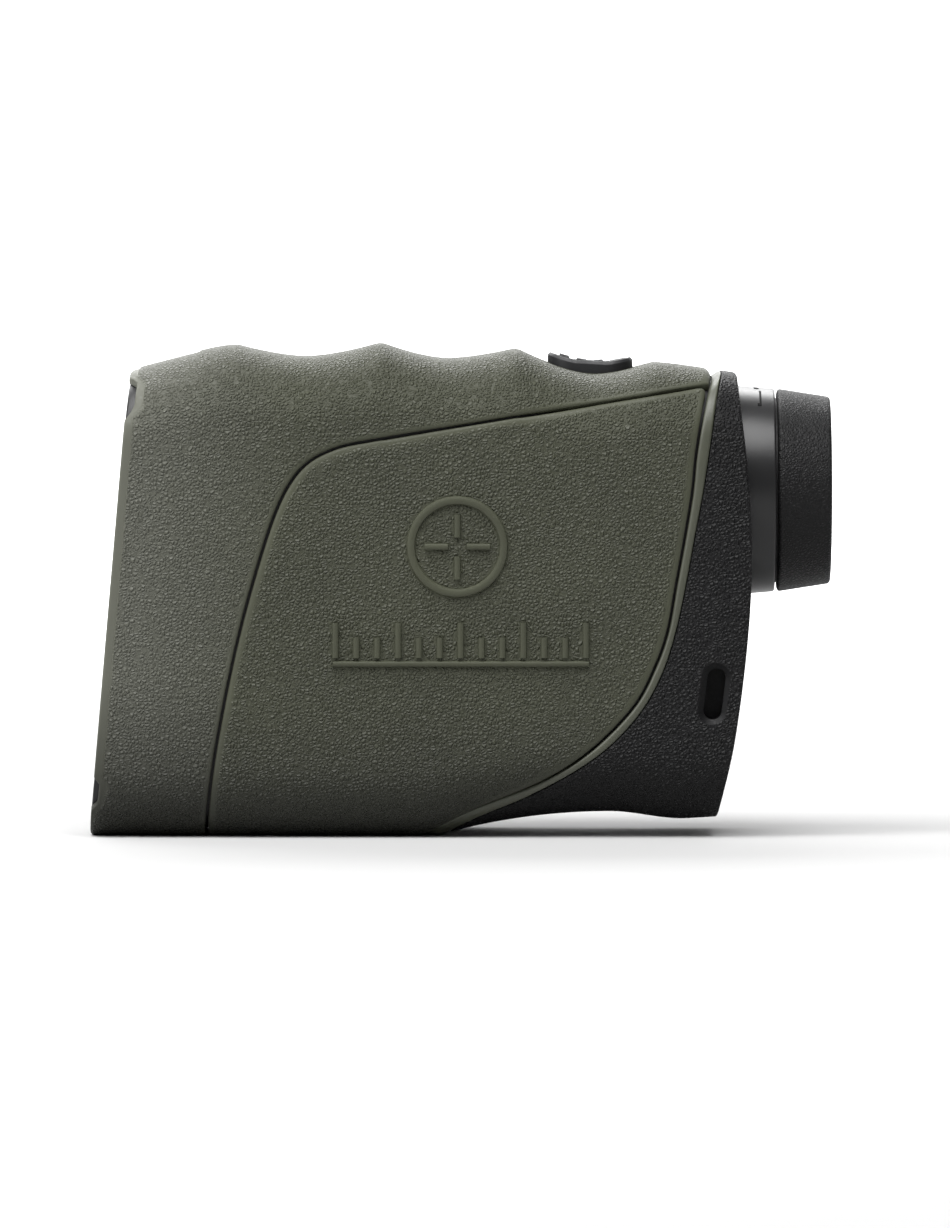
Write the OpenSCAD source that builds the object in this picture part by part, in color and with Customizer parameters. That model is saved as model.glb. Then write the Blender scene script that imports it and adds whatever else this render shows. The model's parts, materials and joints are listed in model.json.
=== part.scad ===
// Hand-held laser rangefinder: a monocular with a laser emitter and a receiver
// under its objective, an eyepiece with a dioptre helicoid at the back, two keys
// on top and a battery under a coin-slot cap.
// X runs from the objective (-) to the eyecup (+), Z is up, and the origin is on
// the base plane under the middle of the whole length.

/* [Body] */
// Whole length, front foot to eyecup
total_l = 110; // [109:0.5:111]
// Width across the armour at its middle
body_w = 40; // [39.4:0.2:41]
// Narrowing of each side towards both ends
end_taper = 1.3; // [0.6:0.1:1.4]
// Radius of the long edges, top and bottom
edge_r = 10; // [8:0.5:11]
// Swell of each flat side, as a share of its half width
side_crown = 0.03; // [0:0.005:0.04]
// Lean of the front face, in degrees
front_lean = 4.92; // [4.5:0.1:5.2]
// Thickness of the shell wall under the armour
wall_t = 1.65; // [1.5:0.05:1.7]
// Thickness of the saddle armour
armour_t = 1.2; // [1:0.05:1.25]
// Width of the grooves between armour pieces
groove_w = 0.5; // [0.3:0.05:0.7]

/* [Front optics] */
// Height of the viewing axis
view_z = 51; // [50.8:0.1:51.2]
// Lens radius of the viewing objective
objective_r = 12.6; // [12:0.1:12.6]
// Height of the laser emitter
emitter_z = 32.8; // [32.7:0.1:32.9]
// Lens radius of the emitter
emitter_r = 2.7; // [2.4:0.1:2.7]
// Height of the receiver
receiver_z = 17.6; // [17.4:0.1:17.7]
// Lens radius of the receiver
receiver_r = 9.8; // [9:0.1:9.8]

/* [Eyepiece] */
// Outer radius of the eyecup at its root
eyecup_r = 15.07; // [14.9:0.05:15.3]
// Outer radius of the eyecup at its end
eyecup_end_r = 13.9; // [13.6:0.05:14.2]
// Outer radius of the index collar where it leaves the housing
collar_r = 15.6; // [15.3:0.05:15.7]

/* [Battery] */
// Radius of the cell
cell_r = 7.75; // [7.5:0.05:7.8]
// Length of the cell
cell_l = 26.9; // [26:0.1:27]
// Tilt of the battery bore below level, in degrees
cell_tilt = 9.3; // [9:0.1:9.6]

/* [Keys] */
// Height of the key frame above the finger groove
key_rise = 1.1; // [0.8:0.05:1.2]
// Width of the key frame across the body
key_w = 11.6; // [10:0.2:12]
// Gap round each key
key_gap = 0.25; // [0.2:0.05:0.3]

/* [Hidden] */

olive = "#5c5e50";
olive_trim = "#6f715f";
black = "#2a2a2a";
grey = "#7c7c7c";
glass = "#9fb8c4";
steel = "#b8b8b8";
board_green = "#2f6b3c";
flex_amber = "#b4742a";

half_l = total_l / 2;
half_w = body_w / 2;
eps = 0.01;
wide = 60;                     // longer than any crossing of the body
pocket_t = armour_t + 0.05;    // depth of the saddle's pocket
tongue_t = 1.65;               // depth of the trim's seat
skin_t = pocket_t + wall_t;    // armour and wall together

// The top line: crests and troughs of the finger grooves, in order along X.
grip_line = [
    [-33.5, 72.7], [-23.1, 71.0], [-11.95, 72.95], [-2.0, 70.7],
    [8.1, 72.1], [19.8, 68.5], [28.7, 70.1]
];
// The seam that sweeps down the side between saddle and trim, top to bottom.
seam_knots = [
    [38.4, 73], [36.6, 66.9], [34.9, 57.5], [34.2, 51], [33.1, 44.3],
    [31.8, 37.2], [30.6, 30.6], [28.7, 25.2], [25.5, 19.3], [19.1, 12.8],
    [12.1, 8.2], [1.6, 3.7], [-5.4, 0], [-9, -2]
];
// The edge of the rear housing, a trim's width behind the seam.
housing_knots = [
    [39.9, 73], [38.2, 66.9], [36.8, 57.5], [35.8, 51], [34.5, 44.1],
    [33.2, 37], [31.8, 30.6], [29.9, 24.6], [26.9, 19], [22.5, 14],
    [17.4, 10.1], [9.7, 5.8], [3.4, 3.1], [-2.6, 0], [-6, -2]
];
// The rear outline of the housing, top to bottom.
rear_knots = [
    [40.8, 73], [41, 68.2], [41.3, 64.6], [42.5, 52.8], [43, 40.9],
    [42.4, 29], [40.6, 14.8], [38.1, 2.7], [37.4, -2]
];
// The front edge of the saddle, bottom to top, and its long upper edge.
saddle_front_knots = [
    [-37.9, -4], [-37.8, 2], [-36.7, 11.2], [-35.1, 20.1], [-33.2, 29],
    [-31, 37.4], [-28.1, 46.7], [-25.6, 52.2], [-22.6, 55.7], [-18.2, 57.9],
    [-13, 59]
];
saddle_top_end = [36.6, 67.2];

// ---- Curves ----

function clamp01(t) = max(0, min(1, t));
function mix(a, b, t) = a + (b - a) * t;
// Smooth minimum of two numbers, blended over k.
function smooth_min(a, b, k) =
    let (h = clamp01(0.5 + 0.5 * (b - a) / k))
    mix(b, a, h) - k * h * (1 - h);

// A point of the Catmull-Rom curve through p1 and p2.
function knot_point(p0, p1, p2, p3, t) =
    0.5 * (2 * p1 + (p2 - p0) * t
        + (2 * p0 - 5 * p1 + 4 * p2 - p3) * t * t
        + (3 * p1 - p0 - 3 * p2 + p3) * t * t * t);

// The smooth curve through all knots, steps points to each span.
function curve(knots, steps = 4) = concat(
    [for (i = [0:len(knots) - 2], s = [0:steps - 1])
        knot_point(knots[max(i - 1, 0)], knots[i], knots[i + 1],
            knots[min(i + 2, len(knots) - 1)], s / steps)],
    [knots[len(knots) - 1]]);

function unit2(v) = v / norm(v);
function heading(path, i) =
    unit2(path[min(i + 1, len(path) - 1)] - path[max(i - 1, 0)]);
// A path moved sideways by d, to the left of its direction.
function beside(path, d) = [for (i = [0:len(path) - 1])
    let (h = heading(path, i)) path[i] + d * [-h[1], h[0]]];

// ---- Body surface ----

// Rise of a finger groove from trough (0) to crest (1).
function groove_rise(t) = smooth_min(1.06 * pow(t, 1.6), 1, 0.06);

function groove_z(x, i) =
    let (a = grip_line[i], b = grip_line[i + 1],
        trough = i % 2 == 0 ? b : a, crest = i % 2 == 0 ? a : b)
    mix(trough[1], crest[1],
        groove_rise(abs((x - trough[0]) / (crest[0] - trough[0]))));

function shoulder(d, slope, round) = slope * (sqrt(d * d + round * round) - round);

// Height of the top line at x.
function top_z(x) =
    x <= grip_line[0][0]
        ? grip_line[0][1] - shoulder(grip_line[0][0] - x, 0.27, 3)
    : x >= grip_line[6][0]
        ? grip_line[6][1] - shoulder(x - grip_line[6][0], 0.2, 2)
    : groove_z(x, [for (i = [0:5]) if (x >= grip_line[i][0]) i]
        [len([for (i = [0:5]) if (x >= grip_line[i][0]) i]) - 1]);

arch = [[-3.5, 0], [22, 3.55], [33, 2.45], [43, 3]];
// Height of the underside at x: flat, then an arch under the rear housing.
function bottom_z(x) =
    x < arch[0][0] ? 0
    : x < arch[1][0]
        ? arch[1][1] * (1 - pow(1 - (x - arch[0][0]) / (arch[1][0] - arch[0][0]), 2))
    : x < arch[2][0]
        ? mix(arch[1][1], arch[2][1],
            (1 - cos(180 * (x - arch[1][0]) / (arch[2][0] - arch[1][0]))) / 2)
    : mix(arch[2][1], arch[3][1], (x - arch[2][0]) / (arch[3][0] - arch[2][0]));

// Half width of the body at x.
function side_y(x) = half_w - end_taper * pow(abs((x + 5) / 48), 2.4);

function front_x(z) = -half_l + z * tan(front_lean);

top_drop = 0.8;   // fall of the top face from its middle to its edges

// Half of a section, bottom middle to top middle, before swelling: [y, z].
function half_section(w, zb, zt, r) = concat(
    [[0, zb]],
    [for (k = [0:5]) [w - r + r * sin(18 * k), zb + r - r * cos(18 * k)]],
    [for (k = [1:2]) [w, mix(zb + r, zt - r, k / 3)]],
    [for (k = [0:5]) [w - r + r * cos(18 * k), zt - r + r * sin(18 * k)]],
    [[(w - r) / 2, zt], [0, zt]]);

function swell(p, w, zb, zt) =
    let (u = (2 * p[1] - zb - zt) / (zt - zb))
    [p[0] * (1 + side_crown * (1 - u * u)) / (1 + side_crown),
     p[1] - (u > 0 ? top_drop * u * u * pow(p[0] / w, 2) : 0)];

// The closed section of the body at x, moved inwards by inset.
function section(x, inset) =
    let (w = side_y(x) - inset, zb = bottom_z(x) + inset, zt = top_z(x) - inset,
        r = edge_r - inset,
        half = [for (p = half_section(w, zb, zt, r)) swell(p, w, zb, zt)])
    concat([for (p = half) [x, p[0], p[1]]],
        [for (k = [len(half) - 2:-1:1]) [x, -half[k][0], half[k][1]]]);

section_step = 2;

// The body between two stations, as one convex slice after another.
module body_solid(inset = 0, x0 = -57, x1 = 45, step = section_step) {
    n = len(section(0, inset));
    for (x = [x0:step:x1 - step])
        hull() polyhedron(
            points = concat(section(x, inset), section(x + step, inset)),
            faces = [[for (k = [0:n - 1]) k], [for (k = [2 * n - 1:-1:n]) k]]);
}

// An outline in X and Z, carried across the body.
module across(points, w = wide) {
    rotate([90, 0, 0])
        linear_extrude(height = w, center = true) polygon(points);
}

front_line = [[front_x(-5), -5], [front_x(90), 90]];
seam = curve(seam_knots);
housing_edge = curve(housing_knots);
rear_line = curve(rear_knots);

// Everything in front of a line that runs from the top to the bottom.
function ahead_of(line) = concat([[-70, -5], [-70, 90], [line[0][0], 90]], line,
    [[-70, line[len(line) - 1][1]]]);
// Everything between two lines that run from the top to the bottom.
function between(a, b) = concat(a, [for (i = [len(b) - 1:-1:0]) b[i]]);

saddle_edge = concat(curve(saddle_front_knots), [saddle_top_end]);
saddle_outline = concat(saddle_edge,
    [for (p = seam) if (p[1] < saddle_top_end[1] - 0.5) p]);

// ---- Turned parts and lenses, all about a line parallel to X ----

// A solid turned about the line at height z from a profile of [x, radius].
module turned(z, profile) {
    translate([0, 0, z]) rotate([0, 90, 0])
        rotate_extrude($fn = 96) polygon([for (p = profile) [p[1], p[0]]]);
}

module tube(z, x0, x1, r_out, r_in) {
    turned(z, [[x0, r_in], [x0, r_out], [x1, r_out], [x1, r_in]]);
}

module rod(y, z, x0, x1, r) {
    translate([x0, y, z]) rotate([0, 90, 0]) cylinder(r = r, h = x1 - x0, $fn = 32);
}

// Depth of a spherical face of the given radius at distance r from its middle.
function sag(radius, r) =
    radius == 0 ? 0 : sign(radius) * (abs(radius) - sqrt(radius * radius - r * r));

// A lens of radius r with its vertices at x0 and x1. A positive radius bulges
// towards -X on the first face and towards +X on the second; 0 is flat.
module lens(z, x0, x1, r, front_r, back_r) {
    n = 10;
    turned(z, concat(
        [for (k = [0:n]) [x0 + sag(front_r, r * k / n), r * k / n]],
        [for (k = [n:-1:0]) [x1 - sag(back_r, r * k / n), r * k / n]]));
}

// ---- Cavity and fasteners ----

floor_z = 2.95;        // inside the front half
rear_floor_z = 6;      // inside the rear half
ceiling_z = 66.2;
key_ceiling_z = 65.4;  // lower under the key groove
rear_wall_t = 2.5;
inner_rear = beside(rear_line, -rear_wall_t);

// A section with rounded corners, between two stations.
module cavity_block(x0, x1, half, zb, zt, r = 7) {
    translate([x0, 0, 0]) rotate([90, 0, 90]) linear_extrude(height = x1 - x0)
        polygon([for (c = [[1, zt, 0], [-1, zt, 90], [-1, zb, 180], [1, zb, 270]],
            k = [0:5])
            let (a = c[2] + 18 * k)
            [c[0] * (half - r) + r * cos(a),
             c[1] + (c[2] < 180 ? -r : r) + r * sin(a)]]);
}

module cavity() {
    cavity_block(-56, -42, 15.7, floor_z, ceiling_z);
    cavity_block(-42 - eps, -8, 16.6, floor_z, ceiling_z);
    cavity_block(-8 - eps, 8, 17, rear_floor_z, ceiling_z);
    cavity_block(8 - eps, 27, 16.6, rear_floor_z, key_ceiling_z);
    cavity_block(27 - eps, 45, 15.8, rear_floor_z, ceiling_z);
}

plate_t = 2.2;         // front plate
plate_inset = 1.5;     // green rim round it
gasket_t = 0.4;
board_x = -46.3;       // front of the lens board
board_t = 3.8;
board_back = board_x + board_t;
bench_screws = [[12.8, 61.8], [12.4, 6.9]];     // y and z, on both sides
rear_screw_spots = [[13.8, 62.6], [13.2, 8.9]];
shelf_x = [-14, 18];   // board shelves along the body
shelf_y = 15.1;
pcb_z = 31.5;
pcb_t = 1.6;

// A post for a screw along X, tied to the wall beside it.
module post(y, z, x0, x1, r, out_y, out_z) {
    hull() {
        rod(y, z, x0, x1, r);
        translate([x0, y + sign(y) * out_y, z + out_z])
            cube([x1 - x0, 0.5, 0.5]);
    }
}

module shell_posts() {
    for (s = [-1, 1]) {
        post(s * bench_screws[0][0], bench_screws[0][1], board_back + 0.05, -37,
            2.2, 1.5, 1.5);
        post(s * bench_screws[1][0], bench_screws[1][1], board_back + 0.05, -37,
            2.2, 1.5, -2);
        post(s * rear_screw_spots[0][0], rear_screw_spots[0][1], 25, 35.4, 2.2, 1, 1.5);
        rod(s * rear_screw_spots[1][0], rear_screw_spots[1][1], 2, 34, 2.2);
        for (x = shelf_x)
            hull() {
                translate([x - 3, s * shelf_y - (s > 0 ? 1.2 : 1.4), pcb_z - 2])
                    cube([6, 2.6, 1.95]);
                translate([x - 3, s * 17 - 0.2, pcb_z - 6]) cube([6, 0.4, 0.5]);
            }
        rod_z(14.2, s * 7.2, 62.6, 66, 1.5);
    }
}

module rod_z(x, y, z0, z1, r) {
    translate([x, y, z0]) cylinder(r = r, h = z1 - z0, $fn = 32);
}

// ---- Keys ----

key_x0 = 12.9;
key_x1 = 25.6;
key_split = 22;        // between the fire key and the mode key
key_rim = 1;           // width of the frame round the keys
travel = 0.5;

// A band that follows the top line from d0 to d1 above it.
function top_band(x0, x1, d0, d1, n = 16) = concat(
    [for (k = [0:n]) let (x = mix(x0, x1, k / n)) [x, top_z(x) + d0]],
    [for (k = [n:-1:0]) let (x = mix(x0, x1, k / n)) [x, top_z(x) + d1]]);

// A rounded plan outline, upright through the top wall.
module plan(x0, x1, w, r, z0 = 60, z1 = 76) {
    translate([0, 0, z0]) linear_extrude(height = z1 - z0)
        polygon([for (c = [[x1, 1, 0], [x0, 1, 90], [x0, -1, 180], [x1, -1, 270]],
            k = [0:6])
            let (a = c[2] + 15 * k, sx = (c[0] == x1 ? -r : r))
            [c[0] + sx + r * cos(a), c[1] * (w / 2 - r) + r * sin(a)]]);
}

module key_opening() {
    plan(key_x0 + 0.6, key_x1 - 0.6, key_w - 1.2, 3.4, 60);
}

// ---- Outer pieces ----

module main_shell() {
    color(olive) difference() {
        union() {
            intersection() {
                body_solid();
                difference() {
                    across(ahead_of(beside(seam, -groove_w / 2)));
                    across(saddle_outline);
                }
            }
            intersection() {
                body_solid(pocket_t);
                across(ahead_of(beside(seam, -groove_w / 2)));
            }
            intersection() {
                body_solid(tongue_t);
                across(ahead_of(beside(housing_edge, -0.15)));
            }
        }
        difference() {
            cavity();
            shell_posts();
        }
        across([[-80, -5], [-80, 90], front_line[1], front_line[0]]);
        front_rebate(0.1);
        rim_notches();
        key_opening();
        screw_holes();
    }
}

// The seat of the front plate and its gasket.
module front_rebate(clearance) {
    intersection() {
        body_solid(plate_inset - clearance, -57, -43, 2);
        across([[-80, -5], [-80, 90],
            [front_x(90) + plate_t + gasket_t + clearance, 90],
            [front_x(-5) + plate_t + gasket_t + clearance, -5]]);
    }
}

notch_z = [[3.2, 7.2], [62.6, 67.2]];
// Shallow reliefs in the front rim that bare the plate's edge.
module rim_notches() {
    for (n = notch_z)
        across([[-80, n[0]], [front_x(n[0]) + 0.3, n[0]],
            [front_x(n[0]) + 0.8, n[0] + 0.9], [front_x(n[1]) + 0.8, n[1] - 0.9],
            [front_x(n[1]) + 0.3, n[1]], [-80, n[1]]]);
}

module screw_holes() {
    for (s = [-1, 1]) {
        for (p = bench_screws) rod(s * p[0], p[1], -50, -38, 0.95);
        rod(s * rear_screw_spots[0][0], rear_screw_spots[0][1], 27, 50, 0.95);
        rod(s * rear_screw_spots[1][0], rear_screw_spots[1][1], 25, 50, 0.95);
        for (x = shelf_x) rod_z(x, s * shelf_y, pcb_z - 5.2, pcb_z + 3, 0.85);
        rod_z(14.2, s * 7.2, 60, 66.4, 0.65);
    }
}

module grip_saddle() {
    inner = concat(beside(saddle_edge, -groove_w / 2),
        [for (p = beside(seam, -groove_w / 2)) if (p[1] < saddle_top_end[1] - 0.8) p]);
    color(olive) intersection() {
        difference() {
            body_solid(0, -41, 41);
            body_solid(armour_t, -43, 43);
        }
        across(inner);
    }
}

module joint_trim() {
    color(olive_trim) intersection() {
        difference() {
            body_solid(0.05, -13, 43);
            body_solid(tongue_t - 0.05, -15, 45);
        }
        across(between(beside(seam, groove_w / 2), beside(housing_edge, -0.05)));
    }
}

lanyard = [37.5, 21.3];   // middle of the lanyard slot, x and z
lanyard_h = 7.6;
lanyard_w = 2.8;
lanyard_lean = 7;
lanyard_floor = 14.2;

module lanyard_slot(s) {
    translate([lanyard[0], s * (lanyard_floor + 4), lanyard[1]])
        rotate([0, lanyard_lean, 0]) hull() for (k = [-1, 1])
            translate([0, 0, k * (lanyard_h - lanyard_w) / 2]) rotate([90, 0, 0])
                cylinder(d = lanyard_w, h = 8, center = true, $fn = 24);
    translate([lanyard[0] - 1, s * (lanyard_floor + 1.4) - 1.4, lanyard[1] - 2.9])
        cube([12, 2.8, 5.8]);
}

module at_battery() {
    translate([40.6, 0, 15]) rotate([0, 90 + cell_tilt, 0]) children();
}

module rear_housing() {
    color(black) difference() {
        intersection() {
            body_solid(0, -13, 45);
            across(concat(beside(housing_edge, 0.05),
                [for (i = [len(rear_line) - 1:-1:0]) rear_line[i]]));
            union() {
                difference() {
                    across([[-20, -5], [-20, 90], [60, 90], [60, -5]]);
                    intersection() {
                        cavity();
                        across(concat([[-60, -5], [-60, 90]], inner_rear));
                    }
                    intersection() {
                        body_solid(tongue_t, -13, 45);
                        across(ahead_of(beside(housing_edge, 0.1)));
                    }
                }
                at_battery() translate([0, 0, -9])
                    cylinder(r = 11.4, h = 20, $fn = 64);
                for (s = [-1, 1])
                    translate([33.5, s * 15.6 - 3, 15.2]) cube([12, 6, 12.2]);
                for (s = [-1, 1])
                    rod(s * rear_screw_spots[1][0], rear_screw_spots[1][1],
                        34.2, 45, 3.2);
                for (s = [-1, 1])
                    rod(s * rear_screw_spots[0][0], rear_screw_spots[0][1],
                        36.6, 45, 3);
            }
        }
        // Seat of the eyepiece collar.
        rod_wide(view_z, 30, 41, 15.02);
        rod_wide(view_z, 40.95, 60, 15.75);
        at_battery() {
            translate([0, 0, -20]) cylinder(r = 9.15, h = 40, $fn = 64);
            translate([0, 0, -6.6]) cylinder(r = 9.35, h = 40, $fn = 64);
            translate([0, 0, -2.4]) cylinder(r = 10.5, h = 40, $fn = 64);
        }
        for (s = [-1, 1]) {
            lanyard_slot(s);
            for (p = rear_screw_spots) {
                rod(s * p[0], p[1], 30, 50, 1.05);
                rod(s * p[0], p[1], 38.8 + (p[1] > 30 ? 0.9 : -0.9), 50, 2);
            }
        }
    }
}

module rod_wide(z, x0, x1, r) {
    translate([x0, 0, z]) rotate([0, 90, 0]) cylinder(r = r, h = x1 - x0, $fn = 96);
}

// ---- Front optics ----

apertures = [[view_z, 13.2], [emitter_z, 3.1], [receiver_z, 10.3]];

module front_slab(inset, d0, d1) {
    intersection() {
        body_solid(inset, -57, -43);
        across([[front_x(-5) + d0, -5], [front_x(90) + d0, 90],
            [front_x(90) + d1, 90], [front_x(-5) + d1, -5]]);
    }
}

module front_plate() {
    color(black) difference() {
        front_slab(plate_inset, 0, plate_t);
        for (a = apertures)
            translate([-60, 0, a[0]]) rotate([0, 90, 0])
                cylinder(r = a[1], h = 20, $fn = 64);
    }
}

module plate_gasket() {
    color(black) difference() {
        front_slab(plate_inset + 0.3, plate_t, plate_t + gasket_t - 0.05);
        cavity_block(-60, -40, 16, 4.4, 65.6, 6);
    }
}

module lens_board() {
    color(black) difference() {
        cavity_block(board_x, board_x + board_t, 15.6, 4.4, 65, 6);
        rod_wide(view_z, -60, -30, 13.65);
        rod_wide(emitter_z, -60, -30, 3.45);
        rod_wide(receiver_z, -60, -30, 10.65);
        for (s = [-1, 1], p = bench_screws) rod(s * p[0], p[1], -60, -30, 1.1);
    }
}

// A pan-head screw along X with its head towards -X or +X.
module screw_x(y, z, x_head, x_tip, r, head_r, head_h) {
    d = sign(x_head - x_tip);
    difference() {
        union() {
            rod(y, z, min(x_head, x_tip), max(x_head, x_tip), r);
            rod(y, z, min(x_head, x_head + d * head_h), max(x_head, x_head + d * head_h),
                head_r);
        }
        translate([x_head + d * head_h, y, z]) cube([head_h, 0.5, 1.6 * head_r], true);
        translate([x_head + d * head_h, y, z]) cube([head_h, 1.6 * head_r, 0.5], true);
    }
}

module lens_board_screws() {
    color(steel) for (s = [-1, 1], p = bench_screws)
        screw_x(s * p[0], p[1], board_x - 0.02, -40, 0.85, 1.6, 1);
}

module objective_ring() {
    color(black) turned(view_z, [[-46.9, 11.7], [-46.9, 12.6], [-44.6, 12.6],
        [-44.78, 12], [-45.4, 11.7]]);
}

module objective_crown() {
    color(glass) lens(view_z, -46.1, -41.1, objective_r, 52, 52);
}

module objective_flint() {
    color(glass) lens(view_z, -41.08, -39.2, objective_r, -52, 0);
}

barrel_end = -12;

module objective_barrel() {
    color(black) turned(view_z, [
        [-47, 12.65], [-47, 13.6], [board_back + 0.05, 13.6], [board_back + 0.05, 14.4],
        [board_back + 1.2, 14.4], [board_back + 1.2, 13.6], [barrel_end, 13.6],
        [barrel_end, 12], [barrel_end - 4, 11.2], [-39.1, 11.7], [-39.1, 12.65]]);
}

module emitter_lens() {
    color(glass) lens(emitter_z, -49.2, -46.8, emitter_r, 9, 0);
}

module emitter_barrel() {
    color(black) turned(emitter_z, [
        [-49.5, 2.75], [-49.5, 3.4], [-28, 3.4], [-28, 2.9], [-30.5, 2.9],
        [-30.5, 2.2], [-46.7, 2.2], [-46.7, 2.75]]);
}

module laser_diode() {
    color(steel) {
        turned(emitter_z, [[-33.5, 0], [-33.5, 2], [-30.4, 2], [-30.4, 2.8],
            [-29, 2.8], [-29, 0]]);
        for (a = [0, 120, 240])
            rod(1.1 * cos(a), emitter_z + 1.1 * sin(a), -29.2, -23, 0.22);
    }
}

module receiver_ring() {
    color(black) turned(receiver_z, [[-50.1, 8.9], [-50.1, 9.85], [-48.55, 9.85],
        [-48.76, 9.25], [-49.2, 8.9]]);
}

module receiver_lens() {
    color(glass) lens(receiver_z, -49.9, -44.9, receiver_r, 34, 0);
}

module receiver_tube() {
    color(black) turned(receiver_z, [
        [-50.2, 9.9], [-50.2, 10.6], [-42.6, 10.6], [-20, 6.6], [-15.6, 6.6],
        [-15.6, 5.2], [-19.6, 5.2], [-21, 5.2], [-42.8, 9], [-44.8, 9], [-44.8, 9.9]]);
}

module photodiode() {
    color(steel) {
        turned(receiver_z, [[-21, 0], [-21, 4.1], [-17.4, 4.1], [-17.4, 4.7],
            [-16.6, 4.7], [-16.6, 0]]);
        for (a = [45, 165, 285])
            rod(2.4 * cos(a), receiver_z + 2.4 * sin(a), -16.8, -12.6, 0.22);
    }
}

module receiver_board() {
    color(board_green) difference() {
        rod_wide(receiver_z, -15.5, -14.3, 9.4);
        for (a = [45, 165, 285])
            rod(2.4 * cos(a), receiver_z + 2.4 * sin(a), -20, -10, 0.3);
    }
}

// ---- Prisms and display ----

prism_y = 15;
prism_x = -8.6;          // front of the first prism
cage_x = [prism_x - 1.8, prism_x + 23];
cage_z = [41, 60.6];

module prism(points) {
    color(glass) across([for (p = points) [p[0] + prism_x, p[1] + view_z]], prism_y);
}

module first_prism() {
    prism([[0, -8], [0, 8], [6.2, 8], [12.83, -8]]);
}

module roof_prism() {
    prism([[6.9, 8], [13.53, -8], [18.4, -8], [21.2, -5], [21.2, 4], [17.2, 8]]);
}

module prism_cage() {
    color(black) difference() {
        union() {
            translate([cage_x[0], -9.4, cage_z[0]])
                cube([cage_x[1] - cage_x[0], 18.8, cage_z[1] - cage_z[0]]);
            rod_wide(view_z, cage_x[0] - 1.5, cage_x[0] + 0.1, 13.4);
        }
        translate([prism_x - 0.2, -7.6, view_z - 8.2]) cube([21.6, 15.2, 16.4]);
        rod_wide(view_z, prism_x - 6, prism_x + 4, 7.4);
        rod_wide(view_z, prism_x + 14, prism_x + 30, 7);
        translate([prism_x + 3, -20, view_z - 5]) cube([15, 40, 10]);
    }
}

display_x = cage_x[1] + 1.6;

module display_frame() {
    color(black) difference() {
        translate([cage_x[1] + 0.05, -11, 40.6]) cube([4.4, 22, 20.2]);
        rod_wide(view_z, 10, 30, 7);
        translate([display_x, -8.6, view_z - 8.4]) cube([1.5, 17.2, 16.8]);
        translate([display_x, -4, 38]) cube([1.5, 8, 6]);
    }
}

module display_glass() {
    color(glass) translate([display_x + 0.1, -8.5, view_z - 8.3])
        cube([1.3, 17, 16.6]);
}

module display_flex() {
    color(flex_amber) translate([display_x + 0.6, -3.5, 0]) {
        translate([0, 0, pcb_z + pcb_t + 0.02]) cube([0.2, 7, 9.5]);
        translate([-5, 0, pcb_z + pcb_t + 0.02]) cube([5.1, 7, 0.2]);
    }
}

// ---- Eyepiece ----

collar_end = 46.7;
cup_x = 47;

module eyepiece_collar() {
    color(grey) difference() {
        turned(view_z, [[29.5, 13.8], [29.5, 14.9], [41, 14.9], [41, collar_r],
            [collar_end - 0.3, 15.13], [collar_end, 14.9], [collar_end, 13.8]]);
        translate([29, -0.95, view_z - 15.5]) cube([5.7, 1.9, 3]);
    }
}

module ocular_cell() {
    color(black) difference() {
        turned(view_z, [
            [31.2, 10.3], [31.2, 13.7], [32.6, 13.7], [32.6, 12.65], [46.4, 12.65],
            [46.4, 9.5], [45.6, 9.9], [43.6, 9.9], [43.6, 10.6], [37.4, 10.6],
            [37.4, 9.4], [34.6, 9.4], [34.6, 10.3]]);
        rod_z(31.9, 0, view_z - 14, view_z - 12, 0.72);
    }
}

module key_pin() {
    color(steel) rod_z(31.9, 0, view_z - 14.7, view_z - 12.2, 0.7);
}

module field_lens() {
    color(glass) lens(view_z, 31.4, 34.5, 10.2, 40, 40);
}

module middle_lens() {
    color(glass) lens(view_z, 37.6, 43.2, 10.5, 46, 24);
}

module eye_lens() {
    color(glass) lens(view_z, 43.5, 46, 9.8, 34, 60);
}

module diopter_ring() {
    color(black) turned(view_z, [
        [35, 12.73], [35, 13.74], [36.9, 13.74], [36.9, 13], [38, 13], [38, 13.74],
        [cup_x, 13.74], [cup_x, 14.1], [cup_x + 1, 14.1], [cup_x + 1, 13.2],
        [53.2, 13.2], [53.2, 11.2], [52, 11.2], [49.4, 12.73]]);
}

module diopter_seal() {
    color(black) translate([37.45, 0, view_z]) rotate([0, 90, 0])
        rotate_extrude($fn = 96) translate([13.4, 0]) circle(r = 0.34, $fn = 24);
}

module eyecup() {
    color(black) turned(view_z, [
        [cup_x + 0.05, 14.2], [cup_x + 0.05, eyecup_r - 0.25],
        [cup_x + 0.3, eyecup_r], [half_l - 1, eyecup_end_r + 0.15],
        [half_l - 0.3, eyecup_end_r - 0.1], [half_l, eyecup_end_r - 0.8],
        [half_l, 12.2], [half_l - 0.6, 11], [half_l - 1.75, 10.6],
        [half_l - 1.75, 13.25], [cup_x + 1.05, 13.25], [cup_x + 1.05, 14.2]]);
}

// ---- Keys ----

module key_frame() {
    color(black) difference() {
        intersection() {
            across(top_band(key_x0 - 1, key_x1 + 1, -1.4, key_rise));
            plan(key_x0, key_x1, key_w, 4);
        }
        difference() {
            across(top_band(key_x0 - 2, key_x1 + 2, -3, 0.02));
            plan(key_x0 + 0.65, key_x1 - 0.65, key_w - 1.3, 3.35);
        }
        plan(key_x0 + key_rim, key_x1 - key_rim, key_w - 2 * key_rim, 3);
    }
}

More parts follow.
